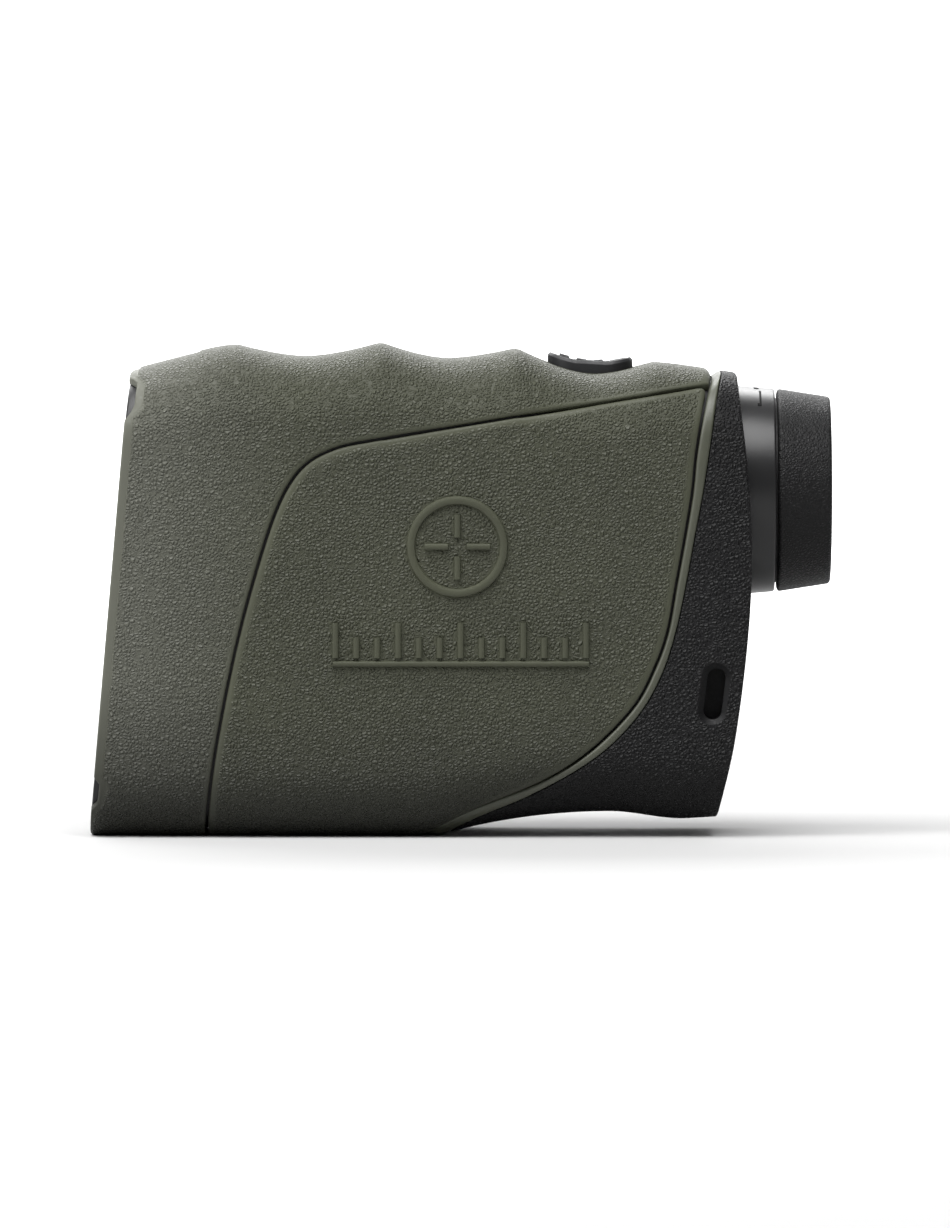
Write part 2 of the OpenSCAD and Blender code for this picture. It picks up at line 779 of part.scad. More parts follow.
// A key between x0 and x1: a cap that follows the top line, and under the
// shell a flange that keeps it in, longer at one end by lip0 or lip1.
module key(x0, x1, rise, lip0, lip1, ribs) {
    w = key_w - 2 * key_rim - 2 * key_gap;
    color(black) {
        intersection() {
            union() {
                across(top_band(x0 - 1, x1 + 1, -3.4, rise));
                for (r = ribs) across(top_band(r[0], r[1], -1, rise + 0.45, 3), w - 3);
            }
            plan(key_x0 + key_rim + key_gap, key_x1 - key_rim - key_gap, w, 3 - key_gap);
            translate([x0, -w, flange_z]) cube([x1 - x0, 2 * w, 20]);
        }
        translate([x0 - lip0, -w / 2 - 1, flange_z])
            cube([x1 - x0 + lip0 + lip1, w + 2, key_ceiling_z - 0.1 - flange_z]);
        rod_z((x0 + x1) / 2, 0, flange_z - 0.3, flange_z + 0.1, 1);
    }
}

flange_z = 64.6;
fire_key_ribs = [[14.6, 16.4], [17.2, 18.8], [19.6, 21.2]];

module fire_key() {
    key(key_x0 + key_rim + key_gap, key_split - key_gap / 2, 0.9, 1.1, 0, fire_key_ribs);
}

module mode_key() {
    key(key_split + key_gap / 2, key_x1 - key_rim - key_gap, 1.2, 0, 1.1, []);
}

key_mid = [(key_x0 + key_rim + key_split) / 2, (key_split + key_x1 - key_rim) / 2];

module key_board() {
    color(board_green) difference() {
        translate([12, -9, 61.5]) cube([15.6, 18, 1]);
        for (s = [-1, 1]) rod_z(14.2, s * 7.2, 60, 64, 0.75);
    }
}

module key_switches() {
    color(steel) for (x = key_mid) {
        translate([x - 1.3, -1.6, 62.52]) cube([2.6, 3.2, 0.8]);
        rod_z(x, 0, 63.3, 63.7, 0.8);
    }
}

module key_board_screws() {
    color(steel) for (s = [-1, 1]) {
        rod_z(14.2, s * 7.2, 61.45, 65, 0.55);
        rod_z(14.2, s * 7.2, 60.9, 61.48, 1.2);
    }
}

module key_flex() {
    color(flex_amber) translate([16, 0, 0]) {
        translate([0, -12.4, pcb_z + pcb_t + 0.2]) cube([6, 0.2, 28.2]);
        translate([0, -12.4, 61.25]) cube([6, 4.6, 0.2]);
        translate([0, -12.4, pcb_z + pcb_t + 0.02]) cube([6, 4, 0.2]);
    }
}

// ---- Electronics ----

module main_board() {
    color(board_green) difference() {
        translate([-20, -16.4, pcb_z]) cube([46, 32.8, pcb_t]);
        for (s = [-1, 1], x = shelf_x) rod_z(x, s * shelf_y, pcb_z - 2, pcb_z + 4, 1);
    }
}

module board_parts() {
    color("#222222") {
        top = pcb_z + pcb_t + 0.02;
        translate([-9, -5, top]) cube([10, 10, 1.4]);
        translate([4, -8, top]) cube([7, 7, 1.2]);
        translate([4, 2, top]) cube([5, 6, 1.6]);
        translate([-18.6, -4, top]) cube([6, 8, 3]);
        for (k = [0:4]) translate([-8 + 3 * k, 10, top]) cube([1.6, 0.9, 0.8]);
        for (k = [0:4]) translate([-8 + 3 * k, -11.5, top]) cube([1.6, 0.9, 0.8]);
        rod_z(-5, -1, pcb_z - 3.4, pcb_z - 0.02, 3);
    }
}

module board_screws() {
    color(steel) for (s = [-1, 1], x = shelf_x) {
        rod_z(x, s * shelf_y, pcb_z - 4.5, pcb_z + pcb_t + 0.05, 0.75);
        rod_z(x, s * shelf_y, pcb_z + pcb_t + 0.02, pcb_z + pcb_t + 0.8, 1.4);
    }
}

// ---- Battery ----

cell_out = -7.7;   // outer end of the cell, along the bore from the rear face

module battery_tube() {
    color(black) at_battery() difference() {
        translate([0, 0, cell_out - cell_l - 1.7]) cylinder(r = 9, h = 29.6, $fn = 64);
        translate([0, 0, cell_out - cell_l - 0.6]) cylinder(r = 8.05, h = 40, $fn = 64);
        translate([0, 0, cell_out - cell_l - 3]) cylinder(r = 3, h = 4, $fn = 48);
    }
}

module battery_cell() {
    color("#c9a64a") at_battery() translate([0, 0, cell_out - cell_l]) {
        translate([0, 0, 0.9]) cylinder(r = cell_r, h = cell_l - 0.9, $fn = 64);
        cylinder(r = 2.8, h = 1.2, $fn = 48);
    }
}

module battery_terminal() {
    color(steel) at_battery() {
        translate([0, 0, cell_out - cell_l - 0.55]) cylinder(r = 5, h = 0.4, $fn = 48);
        translate([0, 0, cell_out - cell_l - 3.2]) cylinder(r = 1.1, h = 2.9, $fn = 32);
    }
}

// A conical contact spring, swept round its own helix.
spring_turns = 2.5;
spring_rings = 40;
wire_r = 0.25;
spring_sides = 8;

function spring_point(t) =
    let (r = mix(5, 2.6, t), a = 360 * spring_turns * t)
    [r * cos(a), r * sin(a), mix(-6.65, cell_out + 0.33, t)];

module contact_spring() {
    points = [for (i = [0:spring_rings], j = [0:spring_sides - 1])
        let (t = i / spring_rings, p = spring_point(t),
            out = unit2([p[0], p[1]]), a = 360 * j / spring_sides)
        p + wire_r * [out[0] * cos(a), out[1] * cos(a), sin(a)]];
    walls = [for (i = [0:spring_rings - 1], j = [0:spring_sides - 1])
        let (k = (j + 1) % spring_sides, a = i * spring_sides, b = a + spring_sides)
        each [[a + j, b + j, b + k], [a + j, b + k, a + k]]];
    ends = [[for (j = [0:spring_sides - 1]) j],
        [for (j = [spring_sides - 1:-1:0]) spring_rings * spring_sides + j]];
    color(steel) at_battery() polyhedron(points = points, faces = concat(walls, ends));
}

module battery_cap() {
    color(black) at_battery() difference() {
        rotate_extrude($fn = 96) polygon([
            [0, -6.35], [9, -6.35], [9.2, -6.15], [9.2, -4.9], [8.4, -4.9],
            [8.4, -3.6], [9.2, -3.6], [9.2, -2.35], [10.35, -2.35], [10.35, -0.7],
            [9.95, -0.3], [0, -0.3]]);
        translate([-6.5, -0.9, -1.7]) cube([13, 1.8, 3]);
    }
}

module cap_seal() {
    color(black) at_battery() translate([0, 0, -4.25])
        rotate_extrude($fn = 96) translate([8.85, 0]) circle(r = 0.43, $fn = 24);
}

module rear_screws() {
    color(steel) for (s = [-1, 1]) {
        screw_x(s * rear_screw_spots[0][0], rear_screw_spots[0][1], 39.72, 29,
            0.85, 1.8, 1.2);
        screw_x(s * rear_screw_spots[1][0], rear_screw_spots[1][1], 37.92, 27,
            0.85, 1.8, 1.2);
    }
}

main_shell();
grip_saddle();
joint_trim();
rear_housing();
front_plate();
plate_gasket();
lens_board();
lens_board_screws();
objective_ring();
objective_crown();
objective_flint();
objective_barrel();
emitter_lens();
emitter_barrel();
laser_diode();
receiver_ring();
receiver_lens();
receiver_tube();
photodiode();
receiver_board();
prism_cage();
first_prism();
roof_prism();
display_frame();
display_glass();
display_flex();
eyepiece_collar();
ocular_cell();
key_pin();
field_lens();
middle_lens();
eye_lens();
diopter_ring();
diopter_seal();
eyecup();
key_frame();
fire_key();
mode_key();
key_board();
key_switches();
key_flex();
key_board_screws();
main_board();
board_parts();
board_screws();
battery_tube();
battery_cell();
battery_terminal();
contact_spring();
battery_cap();
cap_seal();
rear_screws();
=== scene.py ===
import json
import bmesh
import bpy
import numpy as np
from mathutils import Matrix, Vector

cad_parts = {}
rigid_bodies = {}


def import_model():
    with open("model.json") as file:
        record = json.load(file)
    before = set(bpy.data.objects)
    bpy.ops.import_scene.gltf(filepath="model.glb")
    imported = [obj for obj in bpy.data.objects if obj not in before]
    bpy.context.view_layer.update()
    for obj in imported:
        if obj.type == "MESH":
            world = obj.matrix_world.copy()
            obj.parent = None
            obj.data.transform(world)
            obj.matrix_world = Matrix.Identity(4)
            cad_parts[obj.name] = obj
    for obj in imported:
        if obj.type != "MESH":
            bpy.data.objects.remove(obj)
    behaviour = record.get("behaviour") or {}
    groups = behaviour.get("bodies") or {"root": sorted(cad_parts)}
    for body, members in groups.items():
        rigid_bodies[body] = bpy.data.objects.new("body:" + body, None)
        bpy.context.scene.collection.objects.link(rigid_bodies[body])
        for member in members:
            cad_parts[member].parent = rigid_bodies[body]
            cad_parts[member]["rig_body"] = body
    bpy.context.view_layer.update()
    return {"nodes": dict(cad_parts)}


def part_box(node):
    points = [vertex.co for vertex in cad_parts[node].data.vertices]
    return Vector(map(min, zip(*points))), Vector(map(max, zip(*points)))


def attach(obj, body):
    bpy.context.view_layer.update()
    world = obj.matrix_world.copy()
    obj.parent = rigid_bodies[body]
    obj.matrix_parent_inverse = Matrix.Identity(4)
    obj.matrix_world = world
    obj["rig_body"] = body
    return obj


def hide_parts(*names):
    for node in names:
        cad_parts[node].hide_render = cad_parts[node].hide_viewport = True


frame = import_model()
print("frame loaded:", len(frame["nodes"]), "nodes")

metre = 0.001     # every size below is in millimetres until its mesh is made


def boxOf(node):
    low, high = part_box(node)
    return np.array(low) / metre, np.array(high) / metre


def middleOf(node):
    low, high = boxOf(node)
    return (low + high) / 2


# The body's surface follows the same lines and sections as the CAD body.

body = {
    "halfWidth": 20.0,       # across the armour, at its widest
    "taper": 1.3,            # each side draws in by this much at the ends
    "taperFrom": [-5, 48],   # middle and reach of that taper
    "edgeRadius": 10.0,      # long edges, top and bottom
    "crown": 0.03,           # swell of the flat sides
    "topDrop": 0.8,          # fall of the top face towards its edges
    "lean": np.radians(4.92),
    "frontFall": [0.27, 3],  # slope and rounding of the top before the first crest
    "rearFall": [0.15, 2],   # and behind the last one
    "grip": [[-33.5, 72.7], [-23.1, 71.0], [-11.95, 72.95], [-2.0, 70.7],
             [8.1, 72.1], [19.8, 68.5], [28.7, 70.1]],      # crest, trough, crest ...
    "arch": [[-3.5, 0], [22, 3.55], [33, 2.45], [43, 3]],   # underside behind the flat
    "flatHalf": 9.3,         # girth from the middle of the base to its corner
    "sideGirth": 51.5,
}
seamKnots = [[38.4, 73], [36.6, 66.9], [34.9, 57.5], [34.2, 51], [33.1, 44.3],
             [31.8, 37.2], [30.6, 30.6], [28.7, 25.2], [25.5, 19.3], [19.1, 12.8],
             [12.1, 8.2], [1.6, 3.7], [-5.4, 0], [-9, -2]]
housingKnots = [[39.9, 73], [38.2, 66.9], [36.8, 57.5], [35.8, 51], [34.5, 44.1],
                [33.2, 37], [31.8, 30.6], [29.9, 24.6], [26.9, 19], [22.5, 14],
                [17.4, 10.1], [9.7, 5.8], [3.4, 3.1], [-2.6, 0], [-6, -2]]
rearKnots = [[40.8, 73], [41, 68.2], [41.3, 64.6], [42.5, 52.8], [43, 40.9],
             [42.4, 29], [40.6, 14.8], [38.1, 2.7], [37.4, -2]]
saddleKnots = [[-37.9, -4], [-37.8, 2], [-36.7, 11.2], [-35.1, 20.1], [-33.2, 29],
               [-31, 37.4], [-28.1, 46.7], [-25.6, 52.2], [-22.6, 55.7],
               [-18.2, 57.9], [-13, 59]]
saddleTip = [36.6, 67.2]

quarterTurn = np.pi / 2
edgeArc = body["edgeRadius"] * quarterTurn
girthKnots = np.cumsum([0, body["flatHalf"], edgeArc, body["sideGirth"],
                        edgeArc, body["flatHalf"]])
topGirth = girthKnots[-1]      # half the way round, from the base to the top


# Catmull-Rom curve through the knots, with the given number of points to a span.
def smoothCurve(knots, steps=24):
    p = np.asarray(knots, float)
    p = np.vstack([p[:1], p, p[-1:]])
    t = np.linspace(0, 1, steps, endpoint=False)[None, :, None]
    a, b, c, d = (p[i:len(p) - 3 + i, None, :] for i in range(4))
    spans = 0.5 * (2 * b + (c - a) * t + (2 * a - 5 * b + 4 * c - d) * t ** 2
                   + (3 * b - a - 3 * c + d) * t ** 3)
    return np.vstack([spans.reshape(-1, 2), p[-1:]])


# Smallest of two numbers, with a soft passage of width k between them.
def softMin(a, b, k):
    h = np.clip(0.5 + 0.5 * (b - a) / k, 0, 1)
    return b + (a - b) * h - k * h * (1 - h)


# A fall that starts level and tends to a slope: a hyperbola of the distance.
def shoulder(distance, slope, rounding):
    d = np.maximum(distance, 0)
    return slope * (np.sqrt(d * d + rounding * rounding) - rounding)


# Height of the top line: finger waves t^1.6 from trough to crest, then shoulders.
def topLine(x):
    grip = np.array(body["grip"])
    i = np.clip(np.searchsorted(grip[:, 0], x) - 1, 0, len(grip) - 2)
    crestFirst = (i % 2 == 0)[..., None]
    crest = np.where(crestFirst, grip[i], grip[i + 1])
    trough = np.where(crestFirst, grip[i + 1], grip[i])
    t = np.abs((x - trough[..., 0]) / (crest[..., 0] - trough[..., 0]))
    rise = softMin(1.06 * np.clip(t, 0, 1) ** 1.6, 1.0, 0.06)
    wave = trough[..., 1] + (crest[..., 1] - trough[..., 1]) * rise
    front = grip[0, 1] - shoulder(grip[0, 0] - x, *body["frontFall"])
    rear = grip[-1, 1] - shoulder(x - grip[-1, 0], *body["rearFall"])
    return np.where(x <= grip[0, 0], front, np.where(x >= grip[-1, 0], rear, wave))


# Height of the underside: flat, then a quarter parabola up, and half a wave down.
def baseLine(x):
    (x0, _), (x1, z1), (x2, z2), (x3, z3) = body["arch"]
    lift = z1 * (1 - (1 - np.clip((x - x0) / (x1 - x0), 0, 1)) ** 2)
    dip = (z2 - z1) * (1 - np.cos(np.pi * np.clip((x - x1) / (x2 - x1), 0, 1))) / 2
    return lift + dip + (z3 - z2) * np.clip((x - x2) / (x3 - x2), 0, None)


# Half the width at a station: full at the middle, less by a power of the distance.
def sideHalf(x):
    middle, reach = body["taperFrom"]
    return body["halfWidth"] - body["taper"] * np.abs((x - middle) / reach) ** 2.4


# Station of the leaning front plane at a height.
def frontLine(z):
    return -body["halfLength"] + z * np.tan(body["lean"])


body["halfLength"] = boxOf("eyecup")[1][0]


# A point of the body from its station x, its girth round the section from the
# middle of the base (negative on the left side), and its depth under the skin.
# The section is a rounded rectangle whose sides swell and whose top falls away.
def bodySkin(x, girth, depth=0.0):
    x, girth, depth = np.broadcast_arrays(np.asarray(x, float), girth, depth)
    q = np.interp(np.abs(girth), girthKnots, np.arange(6.0))
    r = body["edgeRadius"] - depth
    w = sideHalf(x) - depth
    low = baseLine(x) + depth
    high = topLine(x) - depth
    lowTurn = quarterTurn * np.clip(q - 1, 0, 1)
    highTurn = quarterTurn * np.clip(q - 3, 0, 1)
    y = (w - r) * (np.clip(q, 0, 1) - np.clip(q - 4, 0, 1))
    y = y + r * (np.sin(lowTurn) - 1 + np.cos(highTurn))
    z = low + r * (1 - np.cos(lowTurn) + np.sin(highTurn))
    z = z + np.clip(q - 2, 0, 1) * (high - low - 2 * r)
    u = (2 * z - low - high) / (high - low)
    y = y * (1 + body["crown"] * (1 - u * u)) / (1 + body["crown"])
    z = z - body["topDrop"] * np.maximum(u, 0) ** 2 * (y / w) ** 2
    return np.stack([x, y * np.sign(girth), z], -1)


# The girth at which the side of the body passes through the point x, z.
def girthAt(x, z):
    r = body["edgeRadius"]
    low, high = baseLine(x), topLine(x)
    aim = np.array(z, float)
    for _ in range(6):
        q = (1 + np.arccos(np.clip(1 - (aim - low) / r, 0, 1)) / quarterTurn
             + np.clip((aim - low - r) / (high - low - 2 * r), 0, 1)
             + np.arcsin(np.clip((aim - high + r) / r, 0, 1)) / quarterTurn)
        girth = np.interp(q, np.arange(6.0), girthKnots)
        aim = aim + z - bodySkin(x, girth)[..., 2]
    return girth


# Half a hoop round the body, base to top, that keeps to the side outline edge(z).
def hoop(edge, count=1500):
    girth = np.linspace(0, topGirth, count)
    x = edge(np.linspace(0, 70, count))
    for _ in range(80):
        x = 0.5 * (x + edge(bodySkin(x, girth)[:, 2]))
    return np.stack([x, girth], -1)


# The station of a smooth line through the knots, as a function of height.
def outline(knots):
    line = smoothCurve(knots)
    line = line[np.argsort(line[:, 1])]

    def edge(z):
        return np.interp(z, line[:, 1], line[:, 0])
    return edge


seamLine = outline(seamKnots)
housingLine = outline(housingKnots)
rearLine = outline(rearKnots)


# A line with count points at even steps along it.
def evenly(line, count):
    length = np.append(0, np.cumsum(np.linalg.norm(np.diff(line, axis=0), axis=1)))
    at = np.linspace(0, length[-1], count)
    return np.stack([np.interp(at, length, line[:, k]) for k in range(2)], -1)


# A line from base to top moved forward, to its left, by a distance.
def beside(line, distance):
    step = np.gradient(line, axis=0)
    step /= np.linalg.norm(step, axis=1)[:, None]
    step[0] = [0, 1]
    return line + distance * np.stack([-step[:, 1], step[:, 0]], -1)


# How deep the skin lies at a distance in from an edge: a quarter ellipse, reach by drop.
def roundedEdge(distance, reach, drop):
    across = np.clip(1 - distance / reach, 0, 1)
    return drop * (1 - np.sqrt(1 - across ** 2))


# Shortest distance from each point of the flat pattern to a line of short steps.
def distanceTo(points, line):
    a, step = line[:-1], np.diff(line, axis=0)
    square = np.maximum((step ** 2).sum(1), 1e-12)
    flat = points.reshape(-1, 2)
    best = []
    for part in np.array_split(flat, max(1, len(flat) // 3000)):
        gap = part[:, None] - a
        along = np.clip((gap * step).sum(-1) / square, 0, 1)
        gap = gap - along[..., None] * step
        best.append(np.sqrt((gap ** 2).sum(-1).min(1)))
    return np.concatenate(best).reshape(points.shape[:-1])


# Rises from 0 to 1 between two values as 3 t^2 - 2 t^3.
def smoothRise(value, low, high):
    t = np.clip((value - low) / (high - low), 0, 1)
    return t * t * (3 - 2 * t)


# Quads between the neighbours of a grid, which may close on itself either way.
def gridFaces(rows, cols, closeRows, closeCols, start=0):
    i = np.arange(rows if closeRows else rows - 1)[:, None]
    j = np.arange(cols if closeCols else cols - 1)[None, :]
    up, right = (i + 1) % rows, (j + 1) % cols
    corners = [i * cols + j, up * cols + j, up * cols + right, i * cols + right]
    return start + np.stack(np.broadcast_arrays(*corners), -1).reshape(-1, 4)


# A grid of points and how it closes on itself.
def grid(points, closeRows=False, closeCols=False, grain=1.0):
    rows, cols = points.shape[:2]
    faces = gridFaces(rows, cols, closeRows, closeCols)
    tone = np.broadcast_to(grain, (rows, cols)).reshape(-1)
    return points.reshape(-1, 3), faces, tone


# The closed solid between an upper and a lower grid of the same shape. ends says which
# of the first and last rows get a wall; the two sides are walled from row sidesFrom.
def slab(top, bottom, closeCols=False, ends=(True, True), sidesFrom=0, grain=1.0):
    rows, cols = top.shape[:2]
    count = rows * cols
    faces = [gridFaces(rows, cols, False, closeCols),
             gridFaces(rows, cols, False, closeCols, count)[:, ::-1]]
    index = np.arange(count).reshape(rows, cols)
    rims = [rim for rim, wanted in zip((index[0], index[-1]), ends) if wanted]
    if closeCols:
        rims = [np.append(rim, rim[0]) for rim in rims]
    else:
        rims += [index[sidesFrom:, 0], index[sidesFrom:, -1]]
    for rim in rims:
        a, b = rim[:-1], rim[1:]
        faces.append(np.stack([a, b, b + count, a + count], -1))
    points = np.concatenate([top.reshape(-1, 3), bottom.reshape(-1, 3)])
    tone = np.broadcast_to(grain, (rows, cols)).reshape(-1)
    return points, np.concatenate(faces), np.concatenate([tone, tone])


# A closed solid through rings of points, with its two ends drawn to their middles.
def loft(rings, grain=1.0):
    first, last = (np.repeat(ring.mean(0)[None, None], rings.shape[1], 1)
                   for ring in (rings[0], rings[-1]))
    return grid(np.concatenate([first, rings, last]), closeCols=True, grain=grain)


# A profile of [along, radius] turned about an axis that lies in the plane y = 0.
def turned(profile, height, closed=True, origin=0.0, tilt=0.0, sides=144):
    profile = np.asarray(profile, float)
    angle = np.linspace(0, 2 * np.pi, sides, endpoint=False)
    along, radius = profile[:, :1], profile[:, 1:]
    up = radius * np.cos(angle)
    x = origin + along * np.cos(tilt) + up * np.sin(tilt)
    z = height - along * np.sin(tilt) + up * np.cos(tilt)
    points = np.stack([x, radius * np.sin(angle), z], -1)
    return grid(points, closeRows=closed, closeCols=True)


# A closed profile with each corner cut round by the given reach.
def softened(profile, reach=0.15, closed=True):
    p = np.asarray(profile, float)
    before, after = np.roll(p, 1, 0) - p, np.roll(p, -1, 0) - p
    lengths = [np.linalg.norm(v, axis=1)[:, None] for v in (before, after)]
    cut = np.minimum(reach, 0.45 * np.minimum(*lengths))
    first, last = (p + v / np.maximum(n, 1e-9) * cut for v, n in zip((before, after), lengths))
    t = np.linspace(0, 1, 5)[None, :, None]
    bend = (1 - t) ** 2 * first[:, None] + 2 * t * (1 - t) * p[:, None] + t ** 2 * last[:, None]
    if closed:
        return bend.reshape(-1, 2)
    return np.vstack([p[:1], bend[1:-1].reshape(-1, 2), p[-1:]])


# One mesh object from several parts; points are in millimetres.
def makeMesh(name, parts, sharpAngle=40):
    points = np.concatenate([p for p, _, _ in parts]) * metre
    tone = np.concatenate([t for _, _, t in parts]).astype(np.float32)
    starts = np.cumsum([0] + [len(p) for p, _, _ in parts[:-1]])
    faces = np.concatenate([f + s for (_, f, _), s in zip(parts, starts)])
    mesh = bpy.data.meshes.new(name)
    mesh.vertices.add(len(points))
    mesh.vertices.foreach_set("co", points.astype(np.float32).ravel())
    mesh.loops.add(faces.size)
    mesh.loops.foreach_set("vertex_index", faces.astype(np.int32).ravel())
    mesh.polygons.add(len(faces))
    mesh.polygons.foreach_set("loop_start", np.arange(0, faces.size, 4, dtype=np.int32))
    mesh.update(calc_edges=True)
    mesh.attributes.new("grain", "FLOAT", "POINT").data.foreach_set("value", tone)
    work = bmesh.new()
    work.from_mesh(mesh)
    bmesh.ops.remove_doubles(work, verts=work.verts, dist=2e-6)
    bmesh.ops.dissolve_degenerate(work, edges=work.edges, dist=1e-6)
    bmesh.ops.recalc_face_normals(work, faces=work.faces)
    work.to_mesh(mesh)
    work.free()
    finishShading(mesh, sharpAngle)
    piece = bpy.data.objects.new(name, mesh)
    bpy.context.scene.collection.objects.link(piece)
    return piece


def finishShading(mesh, sharpAngle):
    mesh.polygons.foreach_set("use_smooth", np.ones(len(mesh.polygons), bool))
    mesh.set_sharp_from_angle(angle=np.radians(sharpAngle))
    mesh.update()


# Cuts the cutters out of a piece, or adds them, and applies the result.
def carve(piece, cutters, way="DIFFERENCE", sharpAngle=40):
    for cutter in cutters:
        step = piece.modifiers.new("cut", "BOOLEAN")
        step.operation = way
        step.solver = "MANIFOLD"
        step.object = cutter
    bpy.context.view_layer.update()
    result = bpy.data.meshes.new_from_object(
        piece.evaluated_get(bpy.context.evaluated_depsgraph_get()))
    piece.modifiers.clear()
    piece.data = result
    result.name = piece.name
    finishShading(result, sharpAngle)
    for cutter in cutters:
        bpy.data.objects.remove(cutter)
    return piece


# Puts a piece in the place of CAD nodes: their body, their finish, and they are hidden.
def standIn(piece, *nodes):
    slotName = slotOf[nodes[0]]
    piece.data.materials.clear()
    piece.data.materials.append(finishes[slotName])
    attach(piece, frame["nodes"][nodes[0]]["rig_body"])
    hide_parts(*nodes)
    return piece


# The hoops and edges that part the armour.
seamHoop, housingHoop, rearHoop, frontHoop = (
    hoop(line) for line in (seamLine, housingLine, rearLine, frontLine))


# Station of a hoop at a girth.
def hoopAt(line, girth):
    return np.interp(np.abs(girth), line[:, 1], line[:, 0])


# The saddle's front and upper edge: straight across the base, then up the side.
def saddleEdge():
    curve = smoothCurve(saddleKnots)
    curve = curve[curve[:, 1] > 0.02]
    straight = np.linspace(curve[-1], saddleTip, 120)[1:]
    curve = np.concatenate([curve, straight])
    side = np.stack([curve[:, 0], girthAt(curve[:, 0], curve[:, 1])], -1)
    under = np.stack([np.full(20, side[0, 0]), np.linspace(0, side[0, 1], 21)[:-1]], -1)
    return evenly(np.concatenate([under, side]), 1200)


saddleLine = saddleEdge()

# Main shell: front band, top strip and the wall under the armour.

shell = {
    "edgeReach": 0.5,        # rounding along the saddle
    "edgeDrop": 0.4,
    "rearReach": 1.1,        # rounding at the notch behind the last crest
    "rearDrop": 1.1,
    "rearGirth": [84, 92],   # the notch's rounding comes in between these girths
    "frontReach": 0.35,
    "frontDrop": 0.3,
    "bandWidth": 1.27,       # smooth band behind the front edge
    "bandEnd": 1.45,         # foot of the step behind it
    "bandDrop": 0.24,
    "footFacet": 7.3,        # below this height the band narrows to the foot
    "notches": [[3.7, 8.8, 0.9], [62.2, 68.2, 1.3]],      # from, to, cut back
    "crease": [-48.2, 66.0, 0.157],      # x, z and slope of a faint step by the front corner
    "creaseEnd": [-39.3, -38.5],         # it fades between these stations
    "creaseDrop": 0.2,
    "lean": 7.0,             # the pattern's lines lean forward by this much at the front
    "leanEnd": 73.0,
    "rimDepth": 1.4,         # thickness of the rim over the front plate
    "slabDepth": 1.28,
    "bandLines": [0, 0.05, 0.13, 0.24, 0.38, 0.7, 1.1, 1.27, 1.35, 1.45, 1.8, 2.3, 2.7, 2.8],
    "bandCount": 26,         # lines from the front rim to the saddle's edge
    "edgeLines": 170,        # lines that start on the saddle's edge
    "rows": 96,
    "pocket": 1.3,           # floor under the saddle
    "tongue": 1.7,           # floor under the trim
    "inside": 2.95,
    "rebate": 2.7,
}
fineSteps = np.array([0, 0.04, 0.1, 0.2, 0.34, 0.52, 0.76, 1.1])


# How far the front rim is cut back at each height: two shallow notches.
def notchShift(z):
    shift = 0
    for low, high, cut in shell["notches"]:
        shift = shift + cut * smoothRise(z, low, low + 1.2) * (1 - smoothRise(z, high - 0.6, high))
    return shift


# The shell's flat pattern, girth counted over the top from one lower edge to the
# other. Lines run from the front rim to the seam; rows from the saddle's edge up.
def shellPattern():
    bandLines, bandCount, rows = shell["bandLines"], shell["bandCount"], shell["rows"]
    edge = evenly(saddleLine, shell["edgeLines"])
    tipX = edge[-1, 0]
    rearFine = np.stack([tipX - fineSteps[::-1], np.full(8, edge[-1, 1])], -1)
    rearFine[:, 1] = np.interp(rearFine[:, 0], saddleLine[:, 0], saddleLine[:, 1])
    edge = np.concatenate([edge[edge[:, 0] < tipX - 1.5], rearFine])
    lower = np.concatenate([np.zeros(bandCount), edge[:, 1]])[:, None]
    gap = (topGirth - fineSteps[-1] - lower) * np.linspace(0, 1, rows - 7)[1:] + fineSteps[-1]
    girth = lower + np.concatenate([np.broadcast_to(fineSteps, (len(lower), 8)), gap], 1)
    front = hoopAt(frontHoop, girth[:bandCount])
    z = bodySkin(front, girth[:bandCount])[..., 2]
    band = np.interp(np.arange(bandCount), np.arange(len(bandLines)), bandLines)[:, None]
    reach = np.linspace(0, 1, bandCount - len(bandLines) + 1)[1:]
    away = np.zeros((bandCount, 1))
    away[len(bandLines):, 0] = reach * (1 - 1 / (len(reach) + 1))
    start = front + band + notchShift(z)
    x = np.empty_like(girth)
    along = np.append(0, np.cumsum(np.linalg.norm(np.diff(edge, axis=0), axis=1)))[:, None]
    lean = shell["lean"] * np.clip(1 - along / shell["leanEnd"], 0, 1)
    risen = (girth[bandCount:] - edge[:, 1:]) / (topGirth - edge[:, 1:])
    x[:bandCount] = start + away * (edge[0, 0] - shell["lean"] * girth[:bandCount] / topGirth - start)
    bow = hoopAt(seamHoop, girth[bandCount:]) - hoopAt(seamHoop, edge[-1:, 1])
    bend = smoothRise(edge[:, :1], 24, tipX) * bow
    x[bandCount:] = edge[:, :1] + bend - lean * risen
    return np.stack([x, girth], -1)


# Carries a half pattern, or a field on it, over the top to the other side.
def overTop(half, flip=1):
    return np.concatenate([half, half[:, :-1][:, ::-1] * flip], 1)


